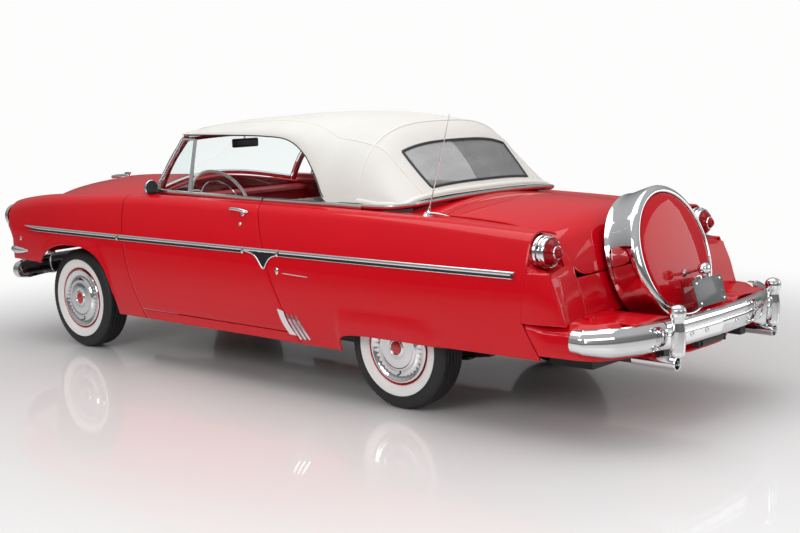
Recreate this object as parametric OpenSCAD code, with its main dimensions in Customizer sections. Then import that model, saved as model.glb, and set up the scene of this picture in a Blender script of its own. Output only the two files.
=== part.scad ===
// 1950s two-door convertible car with a raised fabric top and a spare wheel carried behind the boot.
// +X is the driver's (left) side, -Y is the front of the car, +Z is up. The origin is on the
// ground, under the middle of the whole car. Stations "d" are measured rearwards from the front axle.

/* [Overall] */
// Distance between the axles
wheelbase = 2934; // [2450:10:3530]
// From the front axle to the front bumper's foremost point
front_overhang = 905; // [890:5:1100]
// From the rear axle to the rearmost point of the bumper guards
rear_overhang = 1580; // [1560:5:1700]
// Width over the body sides at their widest
body_width = 1860; // [1540:10:2240]
// Height of the belt line, where the body sides end, above the ground
belt_height = 1095; // [1040:5:1200]
// Height of the roof's highest point above the ground
roof_height = 1590; // [1490:5:1700]
// Height of the sills' underside above the ground
sill_height = 300; // [290:5:320]

/* [Wheels] */
// Outside diameter of the tyres
tyre_diameter = 684; // [570:2:830]
// Width of the tyres
tyre_width = 178; // [150:2:205]
// Diameter of the rims over their flanges
rim_diameter = 416; // [350:2:440]
// From the body's widest point in to the tyres' outer faces
tyre_inset = 130; // [120:5:170]
// Radius of the stub axles that the wheels turn on
stub_radius = 22; // [16:1:28]
// Largest angle that the front wheels steer to
steer_angle = 28; // [10:1:30]

/* [Panels] */
// Thickness of the outer panels
panel_wall = 12; // [8:1:16]
// Thickness of a whole door
door_wall = 62; // [45:1:70]
// Gap between neighbouring panels
panel_gap = 6; // [5:0.5:9]
// Thickness of the fabric top
top_wall = 14; // [10:1:18]
// Thickness of the window panes
pane_wall = 6; // [5:0.5:8]

/* [Doors and lids] */
// From the front axle to the doors' front edges at the belt
door_front = 640; // [600:5:680]
// Length of the doors at the belt
door_length = 1268; // [1060:10:1350]
// From the front axle to the bonnet's rear edge
hood_rear = 500; // [440:5:520]
// Half width of the boot lid
lid_half = 610; // [560:5:620]

/* [Rear carrier] */
// Radius of the spare wheel cover's painted disc
spare_radius = 318; // [270:2:330]
// Depth of the spare wheel cover
spare_depth = 190; // [160:5:200]
// Width of the bright band's rolled front edge
spare_lip = 44; // [36:1:50]
// Lean of the spare wheel towards the boot lid
spare_lean = 17; // [12:1:20]
// Radius inside the exhaust tips
exhaust_bore = 26; // [20:1:30]

/* [Hidden] */
$fn = 48;

PAINT = [0.72, 0.02, 0.05];
CHROME = [0.80, 0.80, 0.82];
DARK = [0.08, 0.08, 0.09];
WHITE = [0.93, 0.91, 0.86];
GLASS = [0.75, 0.82, 0.84, 0.35];

half = body_width / 2;
front_axle_y = front_overhang - (front_overhang + wheelbase + rear_overhang) / 2;
rear_axle_y = front_axle_y + wheelbase;
tyre_radius = tyre_diameter / 2;
hub_height = tyre_radius;
rim_radius = rim_diameter / 2;
wheel_x = half - tyre_inset - tyre_width / 2;
belt_drop = belt_height - 1095;
tail = wheelbase - 2934;

// ---------------------------------------------------------------------------------------------
// Curves and surfaces
// ---------------------------------------------------------------------------------------------

function lerp(a, b, t) = a + (b - a) * t;
function clamp(v, low, high) = max(low, min(high, v));
function y_at(d) = front_axle_y + d;

// The row of a table, sorted by its first column, that the value d falls after.
function row_of(table, d, i = 0) =
  (i >= len(table) - 2 || d < table[i + 1][0]) ? i : row_of(table, d, i + 1);
function slope_at(table, i, column) =
  let (a = max(i - 1, 0), b = min(i + 1, len(table) - 1))
  (table[b][column] - table[a][column]) / (table[b][0] - table[a][0]);
// A smooth curve through one column of a table, read at d.
function read(table, d, column) =
  let (
    i = row_of(table, d),
    h = table[i + 1][0] - table[i][0],
    t = clamp((d - table[i][0]) / h, 0, 1),
    p = table[i][column],
    q = table[i + 1][column],
    m = slope_at(table, i, column) * h,
    n = slope_at(table, i + 1, column) * h
  )
  p * (2 * t ^ 3 - 3 * t ^ 2 + 1) + m * (t ^ 3 - 2 * t ^ 2 + t)
    + q * (3 * t ^ 2 - 2 * t ^ 3) + n * (t ^ 3 - t ^ 2);
function bezier(p, q, r, t) = p * (1 - t) ^ 2 + q * 2 * t * (1 - t) + r * t ^ 2;

// Body sections on one side. Columns: station, sill inset, widest inset, widest height, crest
// centre inset, crest centre height, crest radius, inner edge inset, inner edge height.
// Insets are from half the body's width.
BODY = [
  [-800, 110, 66, 720, 195, 872, 108, 365, 935],
  [-600, 84, 42, 690, 178, 902, 112, 352, 975],
  [-300, 68, 22, 665, 165, 937, 110, 345, 1010],
  [100, 58, 8, 650, 158, 962, 105, 341, 1032],
  [500, 53, 2, 640, 155, 984, 100, 338, 1052],
  [900, 50, 0, 632, 152, 1000, 92, 235, 1078],
  [1500, 50, 0, 630, 152, 1000, 90, 228, 1080],
  [2100, 50, 0, 630, 154, 996, 88, 225, 1078],
  [2700 + tail, 52, 2, 633, 158, 988, 87, 236, 1068],
  [3200 + tail, 58, 10, 640, 163, 972, 88, 314, 1050],
  [3650 + tail, 66, 24, 652, 170, 948, 90, 316, 1022],
  [4000 + tail, 76, 42, 665, 176, 928, 92, 316, 985]
];
function section(d) = [
  for (c = [1:8]) read(BODY, d, c) + (c == 3 || c == 5 || c == 8 ? belt_drop : 0)
];
// Angle on the crest's arc at which the side curve runs into it without a kink.
function crest_start(s, tries = 5, a = 12) =
  tries == 0 ? a :
  let (xo = s[3] - s[5] * cos(a), zo = s[4] + s[5] * sin(a))
  crest_start(s, tries - 1, atan(2 * (xo - s[1]) / (zo - s[2])));
// A point of the outer skin: v from 0 to 1 climbs the side from the sill, from 1 to 2 it goes over
// the crest, and from 2 to 3 it runs in along the top to the inner edge.
function crest_foot_z(s) = s[4] + s[5] * sin(crest_start(s));
function body_point(d, v) =
  let (
    s = section(d),
    a = crest_start(s),
    x_o = s[3] - s[5] * cos(a),
    z_o = crest_foot_z(s)
  )
  v <= 1 ? let (
    z = lerp(sill_height, z_o, v),
    k = z < s[2] ? (s[2] - z) / (s[2] - sill_height) : (z - s[2]) / (z_o - s[2]),
    inset = s[1] + k ^ 2 * (z < s[2] ? s[0] - s[1] : x_o - s[1])
  ) [half - inset, y_at(d), z]
  : v <= 2 ? let (b = lerp(a, 95, v - 1))
    [half - s[3] + s[5] * cos(b), y_at(d), s[4] + s[5] * sin(b)]
  : let (
    e = [half - s[3] + s[5] * cos(95), s[4] + s[5] * sin(95)],
    i = [half - s[6], s[7]],
    p = bezier(e, [lerp(e[0], i[0], 0.5), e[1] - 4], i, v - 2)
  ) [p[0], y_at(d), p[1]];
// The side's v at height z.
function side_v(d, z) = (z - sill_height) / (crest_foot_z(section(d)) - sill_height);
function side_point(d, z) = body_point(d, side_v(d, z));

function unit(v) = v / norm(v);
// The outward normal of a surface f(u, v) by finite differences, kept inside the unit square.
function normal_of(f, u, v, e = 0.004) =
  let (
    u0 = max(u - e, 0), u1 = min(u + e, 1), v0 = max(v - e, 0), v1 = min(v + e, 1)
  ) unit(cross(f(u1, v) - f(u0, v), f(u, v1) - f(u, v0)));

// A plate that follows the surface f(u, v), which its outer face lies on, from a grid of cells.
// keep(i, j) says which cells it has, turn is -1 where the surface's normal points inwards.
module skin(f, nu, nv, wall, turn = 1, keep = function(i, j) true, inner = undef) {
  g = is_undef(inner) ? f : inner;
  outer_points = [for (i = [0:nu], j = [0:nv]) f(i / nu, j / nv)];
  inner_points = [
    for (i = [0:nu], j = [0:nv])
      g(i / nu, j / nv) - turn * wall * normal_of(g, i / nu, j / nv)
  ];
  n = (nu + 1) * (nv + 1);
  at = function(i, j) i * (nv + 1) + j;
  has = function(i, j) i >= 0 && j >= 0 && i < nu && j < nv && keep(i, j);
  quad = function(a, b, c, d) turn > 0 ? [[a, c, b], [a, d, c]] : [[a, b, c], [a, c, d]];
  faces = [
    for (i = [0:nu - 1], j = [0:nv - 1]) if (has(i, j)) each concat(
      quad(at(i, j), at(i + 1, j), at(i + 1, j + 1), at(i, j + 1)),
      quad(n + at(i, j), n + at(i, j + 1), n + at(i + 1, j + 1), n + at(i + 1, j)),
      has(i - 1, j) ? [] : quad(at(i, j), at(i, j + 1), n + at(i, j + 1), n + at(i, j)),
      has(i + 1, j) ? [] : quad(at(i + 1, j + 1), at(i + 1, j), n + at(i + 1, j),
        n + at(i + 1, j + 1)),
      has(i, j - 1) ? [] : quad(at(i + 1, j), at(i, j), n + at(i, j), n + at(i + 1, j)),
      has(i, j + 1) ? [] : quad(at(i, j + 1), at(i + 1, j + 1), n + at(i + 1, j + 1),
        n + at(i, j + 1))
    )
  ];
  polyhedron(points = concat(outer_points, inner_points), faces = faces, convexity = 8);
}
module both_sides() {
  children();
  mirror([1, 0, 0]) children();
}

// ---------------------------------------------------------------------------------------------
// Body panels
// ---------------------------------------------------------------------------------------------

// Doors: the edges lean back towards the sill, and the rear edge follows an arc about the hinge.
door_sill = sill_height + 66;
function door_lean(z) = (belt_height - z) / (belt_height - door_sill);
function door_front_at(z) = door_front + 190 * max(door_lean(z), 0) ^ 1.5;
function door_rear_at(z, x) =
  door_front + door_length + 335 * max(door_lean(z), 0) ^ 1.15 - (half - x) ^ 2 / 2 / door_length;
door_undercut = 24;
function door_surface(u, t, cut = 0) =
  let (
    middle = door_front + u * door_length,
    v = lerp(side_v(middle, door_sill), 2.75, t),
    p = body_point(middle, v),
    d = lerp(door_front_at(p[2]) + cut / 3, door_rear_at(p[2], p[0]) - cut, u)
  ) t == 0 ? side_point(d, door_sill) : body_point(d, v);
module door() {
  color(PAINT) skin(
    function(u, t) door_surface(u, t), 10, 11, door_wall,
    inner = function(u, t) door_surface(u, t, door_undercut)
  );
}

// Front wheel arch: half of a rounded rectangle, from its rear foot over the top to its front one.
arch_half = tyre_radius + 108;
arch_middle = 110;
arch_top = hub_height + tyre_radius + 45;
arch_bend = 2.7;
nose_foot = 582;
function front_arch(a) =
  [arch_middle + arch_half * sign(cos(a)) * abs(cos(a)) ^ (2 / arch_bend),
    sill_height + (arch_top - sill_height) * sin(a) ^ (2 / arch_bend)];
arch_end = 180 - asin(((nose_foot - sill_height) / (arch_top - sill_height)) ^ (arch_bend / 2));
nose_brow = -790;
nose_lower = -715;
nose_round = 60;
// The fender's foremost station at height z: the brow stands out over the lower part.
function nose_at(z) =
  lerp(nose_lower, nose_brow, (1 - cos(clamp((z - 730) / 70, 0, 1) * 180)) / 2);
// The grid lines of the fender and of the quarter run from the wheel arch to the outer edge. Both
// ends are given as a station and a v, and u goes round from the rear or front foot of the arch.
function at_height(d, z) = [d, side_v(d, z)];
fender_end = door_front_at(sill_height) - panel_gap;
function fender_inner(u) = let (p = front_arch(arch_end * u)) at_height(p[0], p[1]);
function fender_outer(u) =
  u < 0.24 ? let (v = u / 0.08)
    [door_front_at(body_point(door_front + 200 - 25 * v, v)[2]) - panel_gap, v]
  : u < 0.7 ? [lerp(door_front - panel_gap, nose_brow, (u - 0.24) / 0.46), 3]
  : let (v = lerp(3, side_v(nose_lower, nose_foot), (u - 0.7) / 0.3))
    [nose_at(body_point(nose_lower, v)[2]), v];
function fender_surface(u, t) =
  let (
    q = lerp(fender_inner(u), fender_outer(u), t),
    p = body_point(q[0], q[1]),
    left = clamp((p[1] - y_at(nose_at(p[2]))) / nose_round, 0, 1),
    a = body_point(q[0], max(q[1] - 0.02, 0)),
    b = body_point(q[0], min(q[1] + 0.02, 3)),
    run = unit([b[0] - a[0], b[2] - a[2]])
  ) p - nose_round * (1 - sqrt(1 - (1 - left) ^ 2)) * [run[1], 0, -run[0]];
module front_fender() {
  color(PAINT) skin(function(u, t) fender_surface(u, t), 30, 13, panel_wall, turn = -1);
}

// Rear wheel arch: a low opening whose top edge hides the tyre's upper half.
arch_front = wheelbase - 330;
arch_back = wheelbase + 440;
rear_arch_top = hub_height + 70;
quarter_foot = sill_height + 66;
pan_top = 597;
// The pan's front edge at height z.
function pan_seam(z) = wheelbase + 912 + 88 * (pan_top - z) / 165;
lamp_station = wheelbase + 930;
// The quarter's rear edge: upright round the tail lamp, then down to the pan and along its seam.
function quarter_end(z) =
  z > 860 ? lamp_station
  : z > pan_top ? lerp(pan_seam(pan_top) - panel_gap, lamp_station, (z - pan_top) / (860 - pan_top))
  : pan_seam(z) - panel_gap;
function quarter_start(z, x) = door_rear_at(z, x) + panel_gap;
function quarter_inner(u) =
  let (
    d = lerp(arch_front, arch_back, (1 - sign(cos(180 * u)) * abs(cos(180 * u)) ^ 0.6) / 2),
    foot = lerp(sill_height, quarter_foot, u)
  ) at_height(d, foot + (rear_arch_top - foot) * sin(180 * u) ^ 0.4);
function quarter_outer(u) =
  u < 0.24 ? let (v = u / 0.08, p = body_point(door_front + door_length + 300 - 110 * v, v))
    [quarter_start(p[2], p[0]), v]
  : u < 0.76 ? [lerp(quarter_start(belt_height, inner_x(door_front + door_length)), lamp_station,
      (u - 0.24) / 0.52), 3]
  : let (v = lerp(3, side_v(pan_seam(quarter_foot), quarter_foot), (u - 0.76) / 0.24))
    [quarter_end(body_point(lamp_station, v)[2]), v];
function quarter_surface(u, t) =
  let (p = lerp(quarter_inner(u), quarter_outer(u), t)) body_point(p[0], p[1]);
module rear_quarter() {
  color(PAINT) skin(function(u, t) quarter_surface(u, t), 32, 13, panel_wall);
}

module rocker_panels() {
  top = door_sill - panel_gap;
  front = door_front_at(sill_height) + 2;
  rear = quarter_start(top, half - 50) - panel_gap;
  f = function(u, t) [
    half - section(lerp(front, rear, u))[0] + 8 * t, y_at(lerp(front, rear, u)),
    lerp(sill_height, top, t)
  ];
  color(PAINT) both_sides() skin(f, 6, 2, 60);
}

// Height of the fenders' inner edges, and their half distance, at station d.
function inner_z(d) = section(d)[7];
function inner_x(d) = half - section(d)[6];

// Bonnet and cowl crown. Columns: station, height above the fenders' inner edges.
CROWN = [[-800, 118], [-500, 112], [-200, 108], [200, 104], [500, 100], [760, 72]];
hood_nose = -812;
function top_at(d, s) = inner_z(d) + read(CROWN, d, 1) * (1 - s ^ 2);
function hood_surface(u, t) =
  let (
    s = 2 * t - 1,
    d = lerp(hood_nose + 40 * s ^ 2, hood_rear, u),
    q = clamp((d - hood_nose - 40 * s ^ 2) / 95, 0, 1),
    drop = (24 + 96 * (1 - s ^ 2)) * (1 - sqrt(1 - (1 - q) ^ 2))
  ) [s * (inner_x(d) - panel_gap - 2), y_at(d), top_at(d, s) - drop];
module hood() {
  rows = function(u, t) hood_surface(u < 0.3 ? u / 3 : 0.1 + (u - 0.3) / 0.7 * 0.9, t);
  color(PAINT) skin(rows, 18, 12, panel_wall, turn = -1);
}
module cowl_panel() {
  f = function(u, t) let (
    s = 2 * t - 1,
    d = lerp(hood_rear + panel_gap + 2, glass_foot(s) + 34, u)
  ) [s * (inner_x(d) - panel_gap), y_at(d), top_at(d, s)];
  color(PAINT) skin(f, 5, 16, panel_wall, turn = -1);
}

// Windshield: it curves back to its posts, and leans back. s runs from side to side, from -1 to 1.
post_foot_x = inner_x(700) - 32;
post_head_x = half - 325;
head_z = roof_height - 130;
function glass_foot(s) = door_front - 70 + 120 * s ^ 2;
function glass_foot_z(s) = top_at(glass_foot(s), s * post_foot_x / inner_x(glass_foot(s))) + 16;
function glass_surface(u, t) =
  let (
    s = 1 - 2 * u,
    low = [s * post_foot_x, y_at(glass_foot(s)), glass_foot_z(s)],
    high = [s * post_head_x, y_at(door_front + 235 + 105 * s ^ 2), head_z - 12 * s ^ 2],
    p = lerp(low, high, t)
  ) p + [0, -34 * sin(180 * t), 0];
GLASS_U = [0, 0.012, 0.026, 0.1, 0.22, 0.36, 0.5, 0.64, 0.78, 0.9, 0.974, 0.988, 1];
GLASS_T = [0, 0.08, 0.3, 0.55, 0.78, 0.93, 1];
module windshield_frame() {
  color(CHROME) skin_on_table(
    function(u, t) glass_surface(u, t), GLASS_U, GLASS_T, 24, turn = -1,
    keep = function(i, j) i < 2 || i > 9 || j == 0 || j == 5
  );
}
module windshield_glass() {
  f = function(u, t) glass_surface(lerp(0.034, 0.966, u), lerp(0.096, 0.912, t)) + [0, 9, 0];
  color(GLASS) skin(f, 10, 5, pane_wall);
}
// The same plate, with its grid lines at the places given.
module skin_on_table(f, us, ts, wall, turn = 1, keep = function(i, j) true) {
  place = function(table, w) let (
    n = len(table) - 1, i = clamp(floor(w * n), 0, n - 1)
  ) lerp(table[i], table[i + 1], clamp(w * n - i, 0, 1));
  skin(function(u, t) f(place(us, u), place(ts, t)), len(us) - 1, len(ts) - 1, wall, turn, keep);
}

// Boot lid and tail. Columns: way along the surface, middle station and height, station and height
// at the lid's sides, outer edge inset from half the width, its station and its height.
TAIL = [
  [0.00, 3105, 1120, 3150, 1054, 300, 3150, 1050],
  [0.15, 3300, 1122, 3310, 1048, 300, 3310, 1048],
  [0.35, 3560, 1110, 3545, 1032, 300, 3545, 1032],
  [0.52, 3760, 1076, 3735, 1002, 280, 3740, 1000],
  [0.64, 3868, 1018, 3840, 962, 270, 3856, 968],
  [0.74, 3925, 940, 3905, 900, 265, 3908, 900],
  [0.82, 3955, 862, 3944, 846, 262, 3938, 838],
  [0.85, 3966, 824, 3956, 815, 80, 3962, 812],
  [0.88, 3976, 790, 3968, 783, 76, 3974, 782],
  [1.00, 4024, 618, 4028, 618, 76, 4044, 618]
];
function tail_at(w, column) =
  let (i = row_of(TAIL, w), t = (w - TAIL[i][0]) / (TAIL[i + 1][0] - TAIL[i][0]))
  column > 4 ? lerp(TAIL[i][column], TAIL[i + 1][column], t) : read(TAIL, w, column);
function deck_point(w, x) =
  let (r = 1 - (x / lid_half) ^ 2)
  [x, y_at(lerp(tail_at(w, 3), tail_at(w, 1), r) + tail),
    lerp(tail_at(w, 4), tail_at(w, 2), r) + belt_drop];
lid_end = 0.875;
module trunk_lid() {
  f = function(u, t) deck_point(u * lid_end, (2 * t - 1) * (lid_half - panel_gap));
  color(PAINT) skin(f, 16, 12, panel_wall, turn = -1);
}
module deck_panel() {
  f = function(u, t) let (
    s = 2 * t - 1,
    d = lerp(top_tail - 20 - 30 * s ^ 2, 3105 + tail + 45 * s ^ 2 - panel_gap, u)
  ) [s * (inner_x(d) - panel_gap), y_at(d),
    inner_z(3100 + tail) + (deck_point(0, 0)[2] - inner_z(3100 + tail) - 2) * (1 - s ^ 2)
      + (inner_z(d) - inner_z(3100 + tail)) * s ^ 2 * 0.5];
  color(PAINT) skin(f, 3, 14, panel_wall, turn = -1);
}
// The tail round the lid: a strip down each side, the panel under it, and the cheeks that go
// round the corners under the lamps.
tail_top = 0.64;
module tail_panel() {
  across = [-1, -0.5, 0, 0.35, 1, 2, 3, 4, 5, 6, 6.65, 7, 7.5, 8];
  down = [tail_top, 0.7, 0.76, 0.82, 0.85, lid_end + 0.005, 0.94, 1];
  f = function(c, w) let (
    side = c < 1 ? 1 : c > 6 ? -1 : 0,
    k = side > 0 ? 1 - c : c - 6,
    edge = deck_point(w, side * (lid_half + 1)),
    z = tail_at(w, 7) + belt_drop,
    d = tail_at(w, 6) + tail,
    cheek = side_point(lerp(d, lamp_station + 6, clamp(k - 1, 0, 1)), z),
    outer = w < 0.845 ? [half - tail_at(w, 5) + 10 * max(k - 1, 0), y_at(d), z] : cheek,
    p = k < 1 ? lerp([abs(edge[0]), edge[1], edge[2]], outer, k) : outer
  ) side != 0 ? [side * p[0], p[1], p[2]]
    : deck_point(w, lerp(lid_half + 1, -lid_half - 1, (c - 1) / 5));
  color(PAINT) skin_on_table(
    f, across, down, panel_wall, turn = -1,
    keep = function(i, j) (i > 1 && i < 4) || (i > 8 && i < 11) || j > 4
      || (j == 4 && (i < 4 || i > 8))
  );
}

// Pan between the tail and the rear bumper, with a well for the spare wheel.
bar_station = wheelbase + rear_overhang - 66;
pan_depth = 165;
// Columns: way round from the side, inset from half the width, station.
PAN = [
  [0, 62, 0], [0.3, 68, 160], [0.5, 84, 300], [0.62, 130, 385], [0.8, 290, 465], [1, 440, 505]
];
module rear_pan() {
  start = wheelbase + 912;
  reach = bar_station - 100 - start;
  at = function(w, z) let (front = pan_seam(z) - start, d = read(PAN, w, 2) / 505)
    [half - read(PAN, w, 1), y_at(start + lerp(front, reach, d)), z];
  skirt = function(u, t) at(u, lerp(pan_top - pan_depth, pan_top - 13, t));
  outline = [for (i = [3:10]) let (p = at(i / 10, pan_top)) [p[0], p[1]]];
  well = spare_radius + spare_lip + 26;
  color(PAINT) {
    translate([0, 0, pan_top - 12]) linear_extrude(12) difference() {
      polygon(concat(
        [[half - 90, y_at(wheelbase + 1126)]], outline,
        [for (i = [7:-1:0]) [-outline[i][0], outline[i][1]]],
        [[90 - half, y_at(wheelbase + 1126)]]
      ));
      translate([-well, y_at(wheelbase + 1120)]) square([2 * well, bar_station - wheelbase - 1208]);
    }
    both_sides() skin(skirt, 14, 2, 10);
  }
}

// Front panel with its grille mouth, between the fenders and under the bonnet's nose.
module nose_panel() {
  f = function(u, t) let (
    s = 1 - 2 * u,
    d = hood_nose + 44 * s ^ 2 + (t < 0.5 ? 22 : 22 * (1 - t) / 0.5) - 14
  ) [s * (half - 395), y_at(d), lerp(nose_foot + 2, hood_front_z(s) - panel_gap, t)];
  color(PAINT) skin(
    f, 16, 8, panel_wall, turn = -1, keep = function(i, j) i < 2 || i > 13 || j < 2 || j > 5
  );
}
function hood_front_z(s) = hood_surface(0, (s + 1) / 2)[2] - 8;

lamp_radius = 84;
lamp_inset = 176;
module turned(x, d, z, toward = 1) {
  translate([x, y_at(d), z]) rotate([-90 * toward, 0, 0]) rotate_extrude() children();
}
module headlamps() {
  color(CHROME) both_sides() {
    turned(half - lamp_inset, nose_brow - 3, 872 + belt_drop, -1) polygon([
      [lamp_radius - 14, 0], [lamp_radius, 0], [lamp_radius, 34], [lamp_radius - 5, 42],
      [lamp_radius - 14, 42]
    ]);
    turned(half - lamp_inset, nose_brow - 3, 872 + belt_drop, -1) polygon([
      [0, 0], [lamp_radius - 15, 0], [lamp_radius - 15, 12], [48, 24], [0, 32]
    ]);
  }
}
module taillamps() {
  color(CHROME) both_sides() turned(half - lamp_inset, lamp_station + 5, 925 + belt_drop) {
    polygon([
      [0, 0], [lamp_radius, 0], [lamp_radius, 58], [lamp_radius - 8, 72], [62, 76], [58, 92],
      [30, 98], [24, 112], [8, 122], [0, 122]
    ]);
  }
}
module grille() {
  rows = 4;
  color(CHROME) {
    for (i = [0:rows - 1]) translate([0, y_at(hood_nose + 76), 640 + 56 * i]) rotate([0, 90, 0])
      cylinder(r = 9, h = 2 * (half - 500), center = true);
    for (s = [-2:2]) translate([s * (half - 520) / 2.2, y_at(hood_nose + 76), 724]) cylinder(
      r = 7, h = 56 * (rows - 1) + 40, center = true
    );
  }
}

// Bumpers: a bowed bar that wraps round the corners. The plan is the way round from the middle.
// Columns: way from the middle, inset from the end of the bar, station behind the bar's face.
BAR = [[0, 0, 0], [0.36, 0, 14], [0.6, 0, 52], [0.8, 0, 128], [0.92, 0, 214], [1, 0, 300]];
bar_height = 142;
bar_wall = 14;
module bumper_bar(face, toward, low, reach) {
  plan = function(w) let (a = abs(w))
    [sign(w) * min(a * 1.06, 1 - 0.35 * (1 - a) ^ 2) * reach,
      y_at(face - toward * read(BAR, a, 2))];
  f = function(u, t) let (
    w = 2 * u - 1, p = plan(w), a = plan(w - 0.01), b = plan(w + 0.01),
    n = unit([b[1] - a[1], a[0] - b[0]]) * -toward,
    out = 26 * (1 - (2 * t - 1) ^ 2) - 26
  ) [p[0] + n[0] * out, p[1] + n[1] * out, low + bar_height * t];
  skin(f, 26, 6, bar_wall, turn = -toward);
}
bumper_low = 448;
guard_x = 500;
module guard(face, toward) {
  translate([0, y_at(face) + toward * 26, bumper_low - 8]) {
      cylinder(r = 36, h = bar_height + 60);
    translate([0, 0, bar_height + 60]) sphere(r = 36);
  }
}
module rear_bumper() {
  color(CHROME) {
    bumper_bar(bar_station, 1, bumper_low, half - 4);
    both_sides() translate([guard_x, 0, 0]) guard(bar_station + 3, 1);
  }
}
front_bar = -front_overhang + 66;
module front_bumper() {
  color(CHROME) {
    bumper_bar(front_bar, -1, bumper_low - 20, half - 4);
    both_sides() translate([guard_x - 60, 0, -20]) guard(front_bar - 3, -1);
  }
}

// Raised top. Columns: way back, station at the edge, station in the middle, edge inset from half
// the width, edge height from the belt (0) to the header (1), crown's drop below the roof.
TOP = [
  [0.00, 985, 880, 308, 1.00, 104],
  [0.10, 1200, 1150, 290, 1.00, 52],
  [0.25, 1500, 1480, 278, 1.00, 15],
  [0.38, 1790, 1760, 275, 0.99, 2],
  [0.47, 2000, 1960, 268, 0.93, 0],
  [0.54, 2150, 2110, 250, 0.70, 0],
  [0.59, 2250, 2210, 228, 0.36, 4],
  [0.63, 2330, 2290, 210, 0.02, 10],
  [0.72, 2480, 2450, 206, 0.00, 30],
  [0.80, 2600, 2610, 206, 0.00, 64],
  [0.84, 2660, 2680, 208, 0.00, 112],
  [0.88, 2730, 2755, 212, 0.00, 200],
  [0.94, 2830, 2862, 224, 0.00, 322],
  [1.00, 2930, 2975, 246, 0.00, 446]
];
top_tail = 2975;
top_foot_z = belt_height - 3;
function top_surface(w, t) =
  let (
    x_b = half - read(TOP, w, 3),
    z_b = lerp(top_foot_z, head_z + 3, read(TOP, w, 4)),
    h = roof_height - read(TOP, w, 5) - z_b,
    n = lerp(2.3, 3.1, clamp(h / 400, 0, 1)),
    c = cos(180 * t),
    s = sin(180 * t),
    side = abs(c) ^ (2 / n),
    rise = h * s ^ (2 / n),
    x = sign(c) * side * (x_b - 0.19 * rise)
  ) [x, y_at(lerp(read(TOP, w, 2), read(TOP, w, 1), side ^ 2)), z_b + rise];
TOP_W = [0, 0.05, 0.1, 0.18, 0.26, 0.34, 0.41, 0.47, 0.52, 0.56, 0.6, 0.64, 0.7, 0.76, 0.8, 0.83,
  0.86, 0.9, 0.94, 0.975, 1];
TOP_T = [0, 0.03, 0.07, 0.12, 0.18, 0.24, 0.3, 0.37, 0.44, 0.5, 0.56, 0.63, 0.7, 0.76, 0.82, 0.88,
  0.93, 0.97, 1];
module convertible_top() {
  color(WHITE) skin_on_table(
    function(w, t) top_surface(w, t), TOP_W, TOP_T, top_wall,
    keep = function(i, j) i < 16 || i > 18 || j < 6 || j > 11
  );
}
module rear_window() {
  f = function(u, t) top_surface(lerp(0.863, 0.972, u), lerp(0.303, 0.697, t));
  color(GLASS) skin(f, 6, 8, 3);
}

// Quarter lights on the doors, in front of the drop glass.
vent_top = head_z - 14;
module vent_window() {
  low = belt_height + 1;
  x_low = inner_x(door_front + 330) + 12;
  lean = atan((x_low - post_head_x - 20) / (vent_top - low));
  h = (vent_top - low) / cos(lean);
  y0 = glass_foot(1) + 78;
  y1 = door_front + 490;
  slope = 232 * h / 360;
  outer = [[y0, 0], [y0 + slope, h], [y1, h], [y1, 0]];
  inner = [[y0 + 34, 16], [y0 + slope + 12, h - 16], [y1 - 18, h - 16], [y1 - 18, 16]];
  color(CHROME) translate([x_low, front_axle_y, low]) rotate([0, -lean, 0])
    rotate([90, 0, 90]) {
      linear_extrude(14) difference() {
        polygon(outer);
        polygon(inner);
      }
      translate([0, 0, 5]) linear_extrude(4) polygon(outer);
    }
}

// ---------------------------------------------------------------------------------------------
// Cabin
// ---------------------------------------------------------------------------------------------

floor_z = hub_height + 10;
cowl_foot = 1002 + belt_drop;
floor_half = half - 114;
floor_wall = 12;
heel_rise = 240;
seat_back = 120;
rear_half = wheel_x - tyre_width / 2 - 28;
seat_half = half - 268;
heel = wheelbase - 420;
module floor_pan() {
  front = hood_rear + 150;
  path = [
    [front, floor_z + 90], [front + 110, floor_z], [heel - 70, floor_z], [heel, floor_z + heel_rise],
    [wheelbase + 410, floor_z + heel_rise], [wheelbase + 500, floor_z + 130],
    [wheelbase + 1030, floor_z + 130]
  ];
  band = function(a, b) concat(
    [for (i = [a:b]) path[i]], [for (i = [b:-1:a]) path[i] + [0, floor_wall]]
  );
  module sheet(a, b, x) translate([-x, front_axle_y, 0]) rotate([90, 0, 90])
    linear_extrude(2 * x) polygon(band(a, b));
  color(DARK) {
    sheet(0, 2, floor_half);
    sheet(2, 6, rear_half);
    translate([-inner_x(front) + 20, y_at(front - 14), floor_z + 90])
      cube([2 * inner_x(front) - 40, 14.5, cowl_foot - floor_z - 90]);
  }
}
module bench(y, width, depth, cushion_z, back_z, back_top, lean) {
  r = 40;
  module block(size_y, size_z) translate([-width, 0, 0]) rotate([90, 0, 90])
    linear_extrude(2 * width) offset(r) translate([r, r]) square([size_y - 2 * r, size_z - 2 * r]);
  translate([0, y, cushion_z]) block(depth, 170);
  translate([0, y + depth + 8 + (back_z - cushion_z) * tan(lean), back_z]) rotate([-lean, 0, 0])
    block(seat_back, back_top - back_z);
}
module front_seat() {
  cushion = floor_z + 140;
  color(WHITE) bench(y_at(door_front + 590), seat_half, 500, cushion, cushion, 1010, 12);
  color(DARK) translate([-seat_half + 30, y_at(door_front + 620), floor_z + floor_wall + 1])
    cube([2 * seat_half - 60, 440, 126]);
}
module rear_seat() {
  depth = 430;
  color(WHITE) bench(
    y_at(heel - 74 - depth), rear_half - 20, depth, floor_z + 120,
    floor_z + heel_rise + floor_wall + seat_back * sin(12) + 6, 1000, 12
  );
}
dash_z = 850;
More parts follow.
